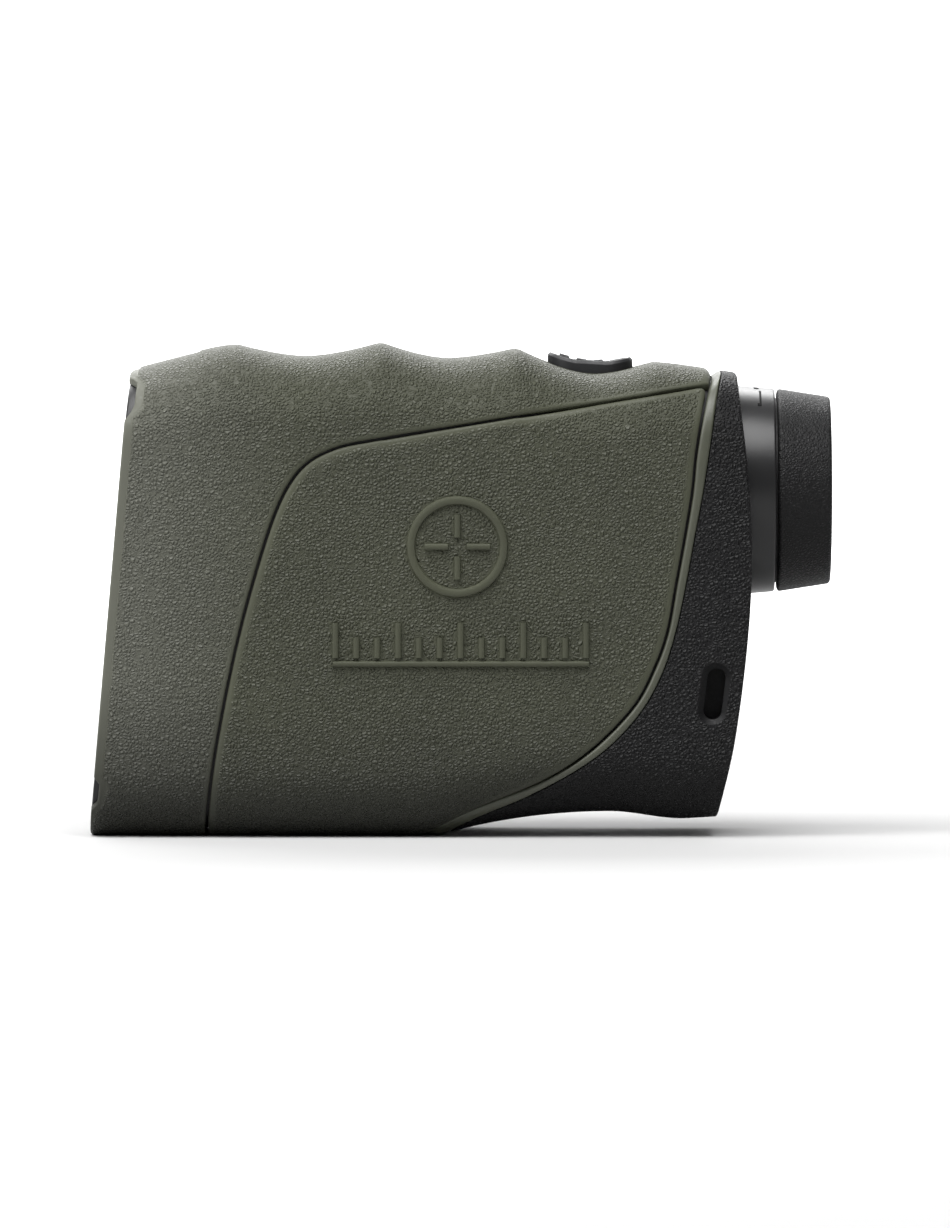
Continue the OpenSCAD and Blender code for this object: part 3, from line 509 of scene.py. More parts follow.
# The shell's skin lies lower along the saddle, at the rear notch, in the front band and
# over the crease; the grain mark fades where it does.
def makeShell():
    half, bandCount = shellPattern(), shell["bandCount"]
    z = bodySkin(half[..., 0], half[..., 1])[..., 2]
    fromFront = half[..., 0] - hoopAt(frontHoop, half[..., 1]) - notchShift(z)
    fromFront[bandCount:] = 50      # far from the front rim
    widthShare = np.clip(z / shell["footFacet"], 0.12, 1)
    band = fromFront / widthShare
    fromSaddle = distanceTo(half, saddleLine)
    fromRear = distanceTo(half, half[-1])
    depth = roundedEdge(fromSaddle, shell["edgeReach"], shell["edgeDrop"])
    toTop = smoothRise(half[..., 1], *shell["rearGirth"])
    depth = np.maximum(depth, roundedEdge(fromRear, shell["rearReach"], shell["rearDrop"] * toTop))
    depth = depth + roundedEdge(band, shell["frontReach"], shell["frontDrop"])
    depth = depth + shell["bandDrop"] * (1 - smoothRise(band, shell["bandWidth"], shell["bandEnd"]))
    creaseX, creaseZ, slope = shell["crease"]
    overCrease = z - creaseZ - slope * (half[..., 0] - creaseX)
    ahead = 1 - smoothRise(half[..., 0], *shell["creaseEnd"])
    depth = depth + shell["creaseDrop"] * smoothRise(overCrease, 0, 0.9) * ahead
    grain = smoothRise(band, 1.3, 1.5) * smoothRise(fromSaddle, 0.3, 1.1)
    grain = grain * smoothRise(fromRear, 0.6, 1.6)
    under = np.where(fromFront < shell["rebate"] + 0.05, shell["rimDepth"], shell["slabDepth"])
    x, girth = np.moveaxis(overTop(half, [1, -1]), -1, 0)
    top = bodySkin(x, girth, overTop(depth))
    bottom = bodySkin(x, girth, overTop(under))
    return makeMesh("mainShell", [slab(top, bottom, sidesFrom=bandCount, grain=overTop(grain))])


# The wall that carries the armour, from the plate's rebate to the housing's edge.
def makeCore():
    girth = np.linspace(-topGirth, topGirth, 161)[:-1]
    first = hoopAt(frontHoop, girth)
    z = bodySkin(first, girth)[..., 2]
    first = first + shell["rebate"] + notchShift(z)
    last = hoopAt(housingHoop, girth) - 0.15
    share = np.linspace(0, 1, 90)[:, None]
    x = first + (last - first) * share
    toTrim = smoothRise(x - hoopAt(seamHoop, girth), -0.3, 0.1)
    depth = shell["pocket"] + (shell["tongue"] - shell["pocket"]) * toTrim
    top = bodySkin(x, girth, depth)
    bottom = bodySkin(x, girth, shell["inside"])
    return makeMesh("armourWall", [slab(top, bottom, closeCols=True, grain=0.0)])


# Keys, their frame and the opening under them.

keys = {
    "start": 12.9, "end": 25.6, "width": 11.6, "corner": 4.0,
    "rim": 1.0, "gap": 0.25, "split": 22.0, "openingInset": 0.6,
    "frameRise": 1.6, "fireRise": 1.3, "modeRise": 1.7,
    "ribs": [[14.55, 16.3], [17.1, 18.9], [19.6, 21.4]], "ribRise": 0.65, "ribEdge": 0.25,
    "wallLow": 66, "flangeLow": 64.6, "flangeHigh": 65.3, "stem": (64.3, 64.5, 64.7),
    # the rounded edge: steps in from the outline, as a share of toCentre, and their drop
    "edgeSteps": [0, 0, 0, 0.04, 0.12, 0.26, 0.45, 0.7, 1], "toCentre": 3.4,
    "edgeDrop": [0, 0, 0.45, 0.24, 0.12, 0.045, 0.01, 0, 0],
    "steps": 30, "stepsFrom": 0.36,      # even steps over the top, to the middle
}


# Plan outline with round corners, as a closed ring of x and y.
def planRing(x0, x1, width, corner, count=96):
    angle = np.linspace(0, 2 * np.pi, count, endpoint=False) + np.pi / count
    cx, half = (x0 + x1) / 2, np.array([(x1 - x0) / 2, width / 2]) - corner
    side = np.stack([np.sign(np.cos(angle)), np.sign(np.sin(angle))], -1)
    return np.array([cx, 0]) + side * half + corner * np.stack([np.cos(angle), np.sin(angle)], -1)


# Height of the body's top face over a plan point.
def topFace(x, y):
    return topLine(x) - body["topDrop"] * (y / sideHalf(x)) ** 2


# A closed prism over a ring of x and y, through the given heights.
def prism(ring, heights):
    return loft(np.array([np.column_stack([ring, np.full(len(ring), z)]) for z in heights]))


def keyOpening():
    inset = keys["openingInset"]
    ring = planRing(keys["start"] + inset, keys["end"] - inset, keys["width"] - 2 * inset,
                    keys["corner"] - inset)
    return makeMesh("keyOpening", [prism(ring, (60, 66, 70, 76))])


# A ring of section [in from the plan outline, above the top face] round the keys.
def makeKeyFrame():
    k = keys
    high, foot = k["frameRise"], -1.35
    section = softened([[0, foot], [0.05, high - 0.45], [0.35, high], [0.85, high],
                        [k["rim"], high - 0.2], [k["rim"], foot]], 0.07)
    rows = []
    for inset, rise in section:
        ring = planRing(k["start"] + inset, k["end"] - inset, k["width"] - 2 * inset,
                        k["corner"] - inset)
        rows.append(np.column_stack([ring, topFace(ring[:, 0], ring[:, 1]) + rise]))
    return makeMesh("keyFrame", [grid(np.array(rows), closeRows=True, closeCols=True, grain=0.6)])


# A key: rings drawn in from its plan outline with a rounded edge, smooth or ribbed on
# top, with a flange and a stem under it.
def makeKey(name, x0, x1, rise, ribs, flange):
    k = keys
    inset = k["rim"] + k["gap"]
    width = k["width"] - 2 * inset
    ring = planRing(k["start"] + inset, k["end"] - inset, width, k["corner"] - inset)
    ring[:, 0] = np.clip(ring[:, 0], x0, x1)
    ring = evenly(np.vstack([ring, ring[:1]]), 181)[:-1]
    middle = (x0 + x1) / 2
    centre = np.array([middle, 0])
    inward = np.array(k["edgeSteps"]) / k["toCentre"]
    share = np.concatenate([inward, np.linspace(k["stepsFrom"], 1, k["steps"])])
    drop = np.concatenate([k["edgeDrop"], np.zeros(k["steps"])])
    rings = ring + (centre - ring) * share[:, None, None]
    z = topFace(rings[..., 0], rings[..., 1]) + rise - drop[:, None]
    edge = k["ribEdge"]
    for low, high in ribs:
        across = smoothRise(rings[..., 0], low, low + edge)
        across = across * (1 - smoothRise(rings[..., 0], high - edge, high))
        across = across * (1 - smoothRise(np.abs(rings[..., 1]), width / 2 - 1.5, width / 2 - 0.9))
        z = z + k["ribRise"] * across
    z[0] = k["flangeLow"]
    z[1] = k["wallLow"]
    cap = np.concatenate([rings, z[..., None]], -1)
    base = cap[:1].copy()
    base[..., :2] = centre
    key = makeMesh(name, [grid(np.concatenate([base, cap]), closeCols=True)])
    low, high = k["flangeLow"], k["flangeHigh"]
    plate = planRing(x0 - flange[0], x1 + flange[1], width + 2, 1)
    stem = planRing(middle - 1, middle + 1, 2, 1, 48)
    extra = [makeMesh("flange", [prism(plate, (low, low + 0.1, high - 0.1, high))]),
             makeMesh("stem", [prism(stem, k["stem"])])]
    return carve(key, extra, "UNION")


# Grip saddle and its relief.

saddle = {
    "frontGap": 0.4,         # from the shell's edge
    "rearGap": 0.25,         # from the middle of the seam groove
    "edgeReach": 0.9,
    "edgeDrop": 0.45,
    "back": 1.2,
    "tipReach": 1.6,
    "smoothRim": 1.15,       # the grain starts this far in
}
emblem = {"middle": [-0.5, 43.1], "ring": [6.2, 7.5], "cross": [1.4, 4.8], "bar": 0.5,
          "rise": 0.45}
scale = {"start": -18.5, "end": 18.5, "z": 25.8, "ticks": 13, "long": 5.2, "short": 3.0,
         "bar": 0.5}


# The saddle's pattern on one side: two edges that meet in a rounded tip, base to tip,
# joined by straight lines that are fine near both edges.
def saddlePattern(rows=250, inner=46):
    frontEdge = beside(saddleLine, -saddle["frontGap"])
    rearEdge = beside(seamHoop, saddle["rearGap"])
    keep = frontEdge[:, 0] < np.interp(frontEdge[:, 1], rearEdge[:, 1], rearEdge[:, 0])
    frontEdge = frontEdge[keep]
    corner = frontEdge[-1]
    rearEdge = rearEdge[rearEdge[:, 1] < corner[1]][::-1]
    far = [np.linalg.norm(e - corner, axis=1) > saddle["tipReach"] for e in (frontEdge, rearEdge)]
    frontEdge, rearEdge = frontEdge[far[0]], rearEdge[far[1]]
    t = np.linspace(0, 1, 41)[1:-1, None]
    tip = (1 - t) ** 2 * frontEdge[-1] + 2 * t * (1 - t) * corner + t ** 2 * rearEdge[0]
    first = evenly(np.concatenate([frontEdge, tip[:20]]), rows)
    last = evenly(np.concatenate([tip[19:], rearEdge])[::-1], rows)
    span = np.linalg.norm(last - first, axis=1)[:, None]
    fine = fineSteps * np.minimum(1, span / 6) / np.maximum(span, 1e-6)
    middle = fine[:, -1:] + (1 - 2 * fine[:, -1:]) * np.linspace(0, 1, inner)[1:-1]
    share = np.concatenate([fine, middle, 1 - fine[:, ::-1]], 1)
    pattern = first[:, None] + (last - first)[:, None] * share[..., None]
    return pattern, np.concatenate([first, last[::-1]])


# The saddle in one piece: its pattern from tip to tip under the base, rounded at its
# edges, and less so behind.
def makeSaddle():
    half, edge = saddlePattern()
    far = distanceTo(half, edge)
    span = np.linalg.norm(half[:, -1] - half[:, 0], axis=1)[:, None]
    toRear = smoothRise(np.linspace(0, 1, half.shape[1])[None], 0.4, 0.6) * smoothRise(span, 0, 8)
    depth = roundedEdge(far, saddle["edgeReach"], saddle["edgeDrop"] * (1 - 0.4 * toRear))
    grain = smoothRise(far, saddle["smoothRim"] - 0.5, saddle["smoothRim"] + 0.1)
    depth, grain = (np.concatenate([field[:0:-1], field]) for field in (depth, grain))
    pattern = np.concatenate([half[:0:-1] * [1, -1], half])
    x, girth = np.moveaxis(pattern, -1, 0)
    top = bodySkin(x, girth, depth)
    bottom = bodySkin(x, girth, saddle["back"])
    return makeMesh("gripSaddle", [slab(top, bottom, ends=(False, False), grain=grain)])


# A patch raised from the side of the body: a grid of x and z with rounded edges.
def raisedPatch(x, z, side, rise, closeCols=False):
    rows = x.shape[0]
    bow = np.sin(np.linspace(0, np.pi, rows)) ** 0.25
    girth = girthAt(x, z) * side
    top = bodySkin(x, girth, -rise * bow[:, None])
    bottom = bodySkin(x, girth, 0.5)
    return slab(top, bottom, closeCols=closeCols, grain=0.0)


# A raised bar between two heights and two stations, rounded along its long sides.
def raisedBar(x0, x1, z0, z1, side, rise):
    upright = abs(z1 - z0) > abs(x1 - x0)
    long = abs(z1 - z0) if upright else abs(x1 - x0)
    share, along = np.meshgrid(np.linspace(0, 1, 9), np.linspace(0, 1, max(4, int(long / 0.7))),
                               indexing="ij")
    if upright:
        return raisedPatch(x0 + (x1 - x0) * share, z0 + (z1 - z0) * along, side, rise)
    return raisedPatch(x0 + (x1 - x0) * along, z0 + (z1 - z0) * share, side, rise)


# A plain ring with four cross hairs, and a row of range ticks under it.
def reliefParts(side):
    cx, cz = emblem["middle"]
    rise = emblem["rise"]
    radius = np.linspace(*emblem["ring"], 9)[:, None]
    angle = np.linspace(0, 2 * np.pi, 96, endpoint=False)[None]
    parts = [raisedPatch(cx + radius * np.cos(angle), cz + radius * np.sin(angle), side, rise, True)]
    near, far = emblem["cross"]
    half = emblem["bar"]
    for way in (-1, 1):
        parts.append(raisedBar(cx + way * near, cx + way * far, cz - half, cz + half, side, rise))
        parts.append(raisedBar(cx - half, cx + half, cz + way * near, cz + way * far, side, rise))
    foot, bar = scale["z"] + 0.9, scale["bar"]
    for index, x in enumerate(np.linspace(scale["start"], scale["end"], scale["ticks"])):
        reach = scale["long"] if index % 3 == 0 else scale["short"]
        parts.append(raisedBar(x - bar, x + bar, foot, foot + reach, side, rise))
    parts.append(raisedBar(scale["start"] - 0.4, scale["end"] + 0.4, scale["z"] - 0.45,
                           scale["z"] + 0.45, side, rise))
    return parts


# Trim bead and rear housing.

trim = {
    "front": 0.12, "rear": 0.05, "back": 1.62,
    "below": 0.06,           # the bead's crest under the body's skin
    "frontDrop": 0.5, "crest": 0.62,     # quarter round, up to this share of the width
    "topDrop": 1.0, "topCrest": 0.95,    # plain slope on the top face
    "topGirth": [82, 90],    # the round gives way to the slope between these girths
    "rearDrop": 0.25, "stepFrom": 0.78, "stepWidth": 0.22,
}
housing = {
    "edgeReach": 0.35, "edgeDrop": 0.25,
    "rearRadius": 0.45,      # fillet between the sides and the rear face
    "wall": 2.4,
    "medial": 14.0,          # the rear face closes on a line this far from top and base
}


# The bead rises from its groove in a quarter round and ends in a small step.
def makeTrim():
    girth = np.linspace(-topGirth, topGirth, 281)[:-1]
    seam, edge = beside(seamHoop, -trim["front"]), beside(housingHoop, trim["rear"])
    start, end = hoopAt(seam, girth), hoopAt(edge, girth)
    share = np.concatenate([[0, 0.01, 0.03, 0.06, 0.1, 0.16], np.linspace(0.24, 0.84, 10),
                            [0.9, 0.94, 0.97, 0.99, 1]])[:, None]
    rise = np.sqrt(1 - np.clip(1 - share / trim["crest"], 0, 1) ** 2)
    toTop = smoothRise(np.abs(girth), *trim["topGirth"])
    slope = np.clip(1 - share / trim["topCrest"], 0, 1)
    depth = trim["below"] + trim["frontDrop"] * (1 - rise) * (1 - toTop)
    depth = depth + trim["topDrop"] * slope * toTop
    step = np.clip((share - trim["stepFrom"]) / trim["stepWidth"], 0, 1)
    depth = depth + trim["rearDrop"] * (1 - np.sqrt(1 - step ** 2))
    x = start + (end - start) * share
    top = bodySkin(x, girth, np.broadcast_to(depth, x.shape))
    bottom = bodySkin(x, girth, trim["back"])
    return makeMesh("jointTrim", [slab(top, bottom, closeCols=True, grain=0.0)])


# Skin of the housing at a depth: sides, fillet, and a rear face drawn to its middle line.
def housingSkin(girth, inset, rearInset, radius, sideRows=46):
    first = hoopAt(beside(housingHoop, -0.05), girth)
    last = hoopAt(rearHoop, girth) - rearInset
    share = np.concatenate([[0, 0.004, 0.01, 0.02, 0.035, 0.06], np.linspace(0.1, 1, sideRows - 6)])
    turn = np.linspace(0, quarterTurn, 8)[1:, None]
    x = first + (last - radius - first) * share[:, None]
    edge = roundedEdge(x - first, housing["edgeReach"], housing["edgeDrop"])
    sides = bodySkin(x, girth, inset + (edge if rearInset == 0 else 0))
    fillet = bodySkin(last - radius + radius * np.sin(turn), girth, inset + radius * (1 - np.cos(turn)))
    rim = fillet[-1]
    low, high = rim[:, 2].min() + housing["medial"], rim[:, 2].max() - housing["medial"]
    z = np.clip(rim[:, 2], low, high)
    middle = np.stack([rearLine(z) - rearInset, np.zeros_like(z), z], -1)
    inward = np.linspace(0, 1, 16)[1:, None, None]
    face = rim + (middle - rim) * inward
    face[..., 0] = rearLine(face[..., 2]) - rearInset
    return np.concatenate([sides, fillet, face])


def makeHousing():
    girth = np.linspace(-topGirth, topGirth, 241)[:-1]
    outer = housingSkin(girth, 0.0, 0.0, housing["rearRadius"])
    inner = housingSkin(girth, housing["wall"], 2.5, 0.5)
    return makeMesh("rearHousing", [slab(outer, inner, closeCols=True, ends=(True, False))])


# Housing cutters: collar seat, cap seat, lanyard slots, screw wells.
viewHeight = middleOf("eyecup")[2]
bore = {"height": 15.0, "origin": 40.6, "tilt": np.radians(9.3)}
lanyard = {"x": 37.5, "z": 21.3, "tall": 7.6, "wide": 2.7, "lean": np.radians(7), "floor": 14.2,
           "chamfer": 0.85, "chamferDepth": 0.75}
screwSpots = [(13.8, 62.6, 39.72), (13.2, 8.9, 37.92)]     # y, z and the head's seat in x
screwSize = {"shank": 0.85, "long": 10.7, "head": 1.8, "hole": 1.05, "well": 2.0, "post": 3}
seats = {                    # sections of [along the axis, radius]
    "collar": [[25, 15.02], [40.9, 15.02], [40.95, 15.75], [60, 15.75]],
    "cap": [[-20, 9.15], [-6.6, 9.15], [-6.6, 9.35], [-2.4, 9.35], [-2.4, 10.5],
            [-0.5, 10.5], [0.6, 11.4], [3, 11.4]],
    "capBoss": [[-8.5, 11.4], [-0.9, 11.4]],
}


# A small part turned about its own axis along X, to one side of the middle.
def turnedAside(profile, height, y):
    part = turned(profile, height, closed=False, sides=48)
    part[0][:, 1] += y
    return part


# A solid plug from an open profile, for cutting or adding.
def plug(name, profile, **place):
    closed = [[profile[0][0], 0]] + profile + [[profile[-1][0], 0]]
    return makeMesh(name, [turned(closed, closed=False, **place)])


# Capsule-shaped rings across Y, leaned back, widening to a chamfer at the skin.
def lanyardCutters(side):
    p = lanyard
    skin = abs(bodySkin(p["x"], girthAt(p["x"], p["z"]))[1])
    angle = np.linspace(0, 2 * np.pi, 64, endpoint=False) + np.pi / 64
    half = (p["tall"] - p["wide"]) / 2
    rings = []
    for y, grow in [(p["floor"], 0), (skin - p["chamferDepth"], 0),
                    (skin - 0.12, p["chamfer"] * 0.8), (skin + 0.5, p["chamfer"] + 0.3)]:
        r = p["wide"] / 2 + grow
        x = r * np.cos(angle)
        z = r * np.sin(angle) + half * np.sign(np.sin(angle))
        xr = p["x"] + x * np.cos(p["lean"]) + z * np.sin(p["lean"])
        zr = p["z"] - x * np.sin(p["lean"]) + z * np.cos(p["lean"])
        rings.append(np.stack([xr, np.full_like(xr, side * y), zr], -1))
    slot = makeMesh("slot", [loft(np.array(rings), grain=0.0)])
    ring = planRing(p["floor"] + 0.01, p["floor"] + 2.8, 5.8, 1.2, 48)
    tunnel = [np.column_stack([np.full(48, x), side * ring[:, 0], p["z"] + ring[:, 1]])
              for x in (p["x"] - 0.9, p["x"] + 12)]
    return [slot, makeMesh("tunnel", [loft(np.array(tunnel))])]


# Adds the inner bosses to the housing and cuts its seats, well, slots and screw holes.
def finishHousing(piece):
    bosses = [plug("boss", seats["capBoss"], **bore)]
    for side in (-1, 1):
        box = planRing(33.6, 40.2, 5.2, 1.2, 48)
        box[:, 1] += side * 15.3
        bosses.append(makeMesh("pocket", [prism(box, (15.4, 27.2))]))
        for y, z, seat in screwSpots:
            post = screwSize["post"]
            rod = [[seat - 3.2, 0], [seat - 3.2, post], [seat + 0.4, post], [seat + 0.4, 0]]
            bosses.append(makeMesh("post", [turnedAside(rod, z, side * y)]))
    carve(piece, bosses, "UNION")
    cuts = [plug("seat", seats["collar"], height=viewHeight), plug("well", seats["cap"], **bore)]
    for side in (-1, 1):
        cuts += lanyardCutters(side)
        for y, z, seat in screwSpots:
            hole, well = screwSize["hole"], screwSize["well"]
            hole = [[seat - 8, 0], [seat - 8, hole], [seat, hole], [seat, well],
                    [seat + 12, well], [seat + 12, 0]]
            cuts.append(makeMesh("hole", [turnedAside(hole, z, side * y)]))
    return carve(piece, cuts)


# Front plate.

plate = {"inset": 1.55, "back": 0.06, "thickness": 2.2, "round": 0.3, "chamfer": 0.8, "medial": 14}
emitterHeight, receiverHeight = middleOf("emitter_lens")[2], middleOf("receiver_lens")[2]
apertures = [(viewHeight, 13.2), (emitterHeight, 3.1), (receiverHeight, 10.3)]


# A slab behind the leaning front plane, its edge rounded, drawn to its middle line.
def makePlate():
    girth = np.linspace(-topGirth, topGirth, 241)[:-1]
    first = hoopAt(frontHoop, girth)
    skins = []
    for back in (plate["back"], plate["thickness"]):
        turn = np.linspace(0, quarterTurn, 5)
        way = 1 if back < 1 else -1
        rim = [bodySkin(first + back + way * plate["round"] * (1 - np.sin(t)), girth,
                        plate["inset"] + plate["round"] * (1 - np.cos(t))) for t in turn]
        heights = rim[-1][:, 2]
        z = np.clip(heights, heights.min() + plate["medial"], heights.max() - plate["medial"])
        middle = np.stack([frontLine(z) + back, np.zeros_like(z), z], -1)
        inward = np.linspace(0, 1, 14)[1:, None, None]
        face = rim[-1] + (middle - rim[-1]) * inward
        face[..., 0] = frontLine(face[..., 2]) + back
        skins.append(np.concatenate([np.array(rim), face]))
    piece = makeMesh("frontPlate", [slab(*skins, closeCols=True, ends=(True, False), grain=0.5)])
    cuts = []
    for z, radius in apertures:
        mouth = float(frontLine(z))
        wide = min(plate["chamfer"], radius * 0.2)
        cone = [[mouth - 4, radius + wide + 2.9], [mouth + 1.2, radius], [-44, radius]]
        cuts.append(plug("mouth", cone, height=z))
    return carve(piece, cuts)


# A colour given as it shows on a screen, each part 0 to 255, for a shader's socket.
def shade(red, green, blue):
    c = np.array([red, green, blue]) / 255
    linear = np.where(c <= 0.04045, c / 12.92, ((c + 0.055) / 1.055) ** 2.4)
    return (*linear, 1.0)


# One shader node with its inputs set or linked.
def node(tree, kind, inputs=(), **settings):
    made = tree.nodes.new(kind)
    for key, value in settings.items():
        setattr(made, key, value)
    for key, value in dict(inputs).items():
        if isinstance(value, bpy.types.NodeSocket):
            tree.links.new(value, made.inputs[key])
        else:
            made.inputs[key].default_value = value
    return made


def blankMaterial(name):
    material = bpy.data.materials.new(name)
    material.use_nodes = True
    tree = material.node_tree
    tree.nodes.clear()
    out = node(tree, "ShaderNodeOutputMaterial")
    return material, tree, out


def ramp(tree, value, low, high, start=0.0, end=1.0):
    return node(tree, "ShaderNodeMapRange", {"Value": value, "From Min": low, "From Max": high,
                                             "To Min": start, "To Max": end}).outputs[0]


def mixColour(tree, share, first, second):
    made = node(tree, "ShaderNodeMix", data_type="RGBA")
    for socket, value in ((made.inputs[0], share), (made.inputs[6], first), (made.inputs[7], second)):
        if isinstance(value, bpy.types.NodeSocket):
            tree.links.new(value, socket)
        else:
            socket.default_value = value
    return made.outputs[2]


# Moulded leather grain: pebbles from a warped cell pattern with soft creases between
# them, painted shade in the creases, a slow change of tone, polish on the pebble tops,
# and bump times the grain mark. When these are given, it also has a painted sheen
# towards the front and painted shade towards the bottom.
def grainedFinish(name, tone, lowTone, cell=0.56, bump=0.24, rough=(0.42, 0.6), mark=True,
                  paintedShadeBelow=None, paintedSheenAhead=None, crease=0.8, specular=0.3):
    material, tree, out = blankMaterial(name)
    place = node(tree, "ShaderNodeTexCoord").outputs["Object"]
    warp = node(tree, "ShaderNodeTexNoise", {"Vector": place, "Scale": 620.0, "Detail": 2.0})
    offset = node(tree, "ShaderNodeVectorMath", {0: warp.outputs["Color"], 1: (0.5, 0.5, 0.5)},
                  operation="SUBTRACT").outputs[0]
    offset = node(tree, "ShaderNodeVectorMath", {0: offset, "Scale": cell * metre * 0.9},
                  operation="SCALE").outputs[0]
    warped = node(tree, "ShaderNodeVectorMath", {0: place, 1: offset}).outputs[0]
    cells = node(tree, "ShaderNodeTexVoronoi", {"Vector": warped, "Scale": 1 / (cell * metre)},
                 feature="DISTANCE_TO_EDGE").outputs["Distance"]
    pebble = node(tree, "ShaderNodeMapRange", {"Value": cells, "From Max": 0.42},
                  interpolation_type="SMOOTHSTEP").outputs[0]
    fine = node(tree, "ShaderNodeTexNoise", {"Vector": place, "Scale": 5200.0, "Detail": 2.0})
    slow = node(tree, "ShaderNodeTexNoise", {"Vector": place, "Scale": 55.0, "Detail": 3.0})
    strength = node(tree, "ShaderNodeAttribute", attribute_name="grain").outputs["Fac"] if mark else None
    height = node(tree, "ShaderNodeMath", {0: fine.outputs["Fac"], 1: 0.18, 2: pebble},
                  operation="MULTIPLY_ADD").outputs[0]
    if mark:
        height = node(tree, "ShaderNodeMath", {0: height, 1: strength}, operation="MULTIPLY").outputs[0]
    # Painted shade in the creases: at the cell edges the colour is scaled down to crease times itself.
    # There is no darkening where the grain mark is zero.
    dip = ramp(tree, pebble, 0.0, 1.0, crease, 1.0)
    if mark:
        dip = node(tree, "ShaderNodeMix", {0: strength, 2: 1.0, 3: dip}, data_type="FLOAT").outputs[0]
    base = mixColour(tree, ramp(tree, slow.outputs["Fac"], 0.35, 0.65), lowTone, tone)
    station = node(tree, "ShaderNodeSeparateXYZ", {0: place})
    # Painted sheen: the colour turns paler towards the front, standing in for a broad highlight. It is the
    # sheen tone ahead of station first, and blends back to the base tone by station last.
    if paintedSheenAhead:
        first, last, sheenTone = paintedSheenAhead
        share = ramp(tree, station.outputs["X"], first * metre, last * metre)
        base = mixColour(tree, share, sheenTone, base)
    # Painted shade: the colour darkens towards the bottom. It is the shade tone at height low and below,
    # and blends back to the base tone by height high.
    if paintedShadeBelow:
        low, high, paintedShadeTone = paintedShadeBelow
        share = ramp(tree, station.outputs["Z"], low * metre, high * metre)
        base = mixColour(tree, share, paintedShadeTone, base)
    creaseShadedBase = node(tree, "ShaderNodeVectorMath", {0: base, "Scale": dip}, operation="SCALE").outputs[0]
    polish = ramp(tree, pebble, 0.0, 1.0, rough[1], rough[0])
    relief = node(tree, "ShaderNodeBump", {"Height": height, "Distance": bump * metre, "Strength": 1.0})
    shader = node(tree, "ShaderNodeBsdfPrincipled", {
        "Base Color": creaseShadedBase, "Roughness": polish, "Normal": relief.outputs[0],
        "Specular IOR Level": specular})
    tree.links.new(shader.outputs[0], out.inputs[0])
    return material


# Plain moulded, painted, turned or plated surfaces: a fine noise or turning lines in
# the bump, a slow change of tone, and some spread in the roughness.
def smoothFinish(name, tone, lowTone, rough=(0.35, 0.5), metallic=0.0, pattern=2600.0, bump=0.006,
                 stretch=(1, 1, 1), coat=0.0, specular=0.5, slowScale=90.0):
    material, tree, out = blankMaterial(name)
    place = node(tree, "ShaderNodeTexCoord").outputs["Object"]
    stretched = node(tree, "ShaderNodeMapping", {"Vector": place, "Scale": stretch}).outputs[0]
    fine = node(tree, "ShaderNodeTexNoise", {"Vector": stretched, "Scale": pattern, "Detail": 3.0})
    slow = node(tree, "ShaderNodeTexNoise", {"Vector": place, "Scale": slowScale, "Detail": 2.0})
    base = mixColour(tree, ramp(tree, slow.outputs["Fac"], 0.3, 0.7), lowTone, tone)
    relief = node(tree, "ShaderNodeBump", {"Height": fine.outputs["Fac"], "Distance": bump * metre,
                                           "Strength": 1.0})
    spread = ramp(tree, fine.outputs["Fac"], 0.3, 0.7, *rough)
    shader = node(tree, "ShaderNodeBsdfPrincipled", {
        "Base Color": base, "Roughness": spread, "Metallic": metallic, "Normal": relief.outputs[0],
        "Specular IOR Level": specular, "Coat Weight": coat, "Coat Roughness": 0.2})
    tree.links.new(shader.outputs[0], out.inputs[0])
    return material


# Coated glass: clear at the middle, with the coating's tint growing towards grazing
# angles through Layer Weight, and a breath of dust in the roughness.
def coatedGlass(name, tint, edgeTint, rough=0.02):
    material, tree, out = blankMaterial(name)
    place = node(tree, "ShaderNodeTexCoord").outputs["Object"]
    dust = node(tree, "ShaderNodeTexNoise", {"Vector": place, "Scale": 240.0, "Detail": 2.0})
    facing = node(tree, "ShaderNodeLayerWeight", {"Blend": 0.35}).outputs["Facing"]
    film = mixColour(tree, facing, tint, edgeTint)
    gloss = node(tree, "ShaderNodeBsdfPrincipled", {
        "Base Color": film, "Roughness": ramp(tree, dust.outputs["Fac"], 0.4, 0.8, rough, rough + 0.05),
        "Transmission Weight": 0.97, "IOR": 1.52, "Specular Tint": edgeTint, "Coat Weight": 0.6})
    tree.links.new(gloss.outputs[0], out.inputs[0])
    return material
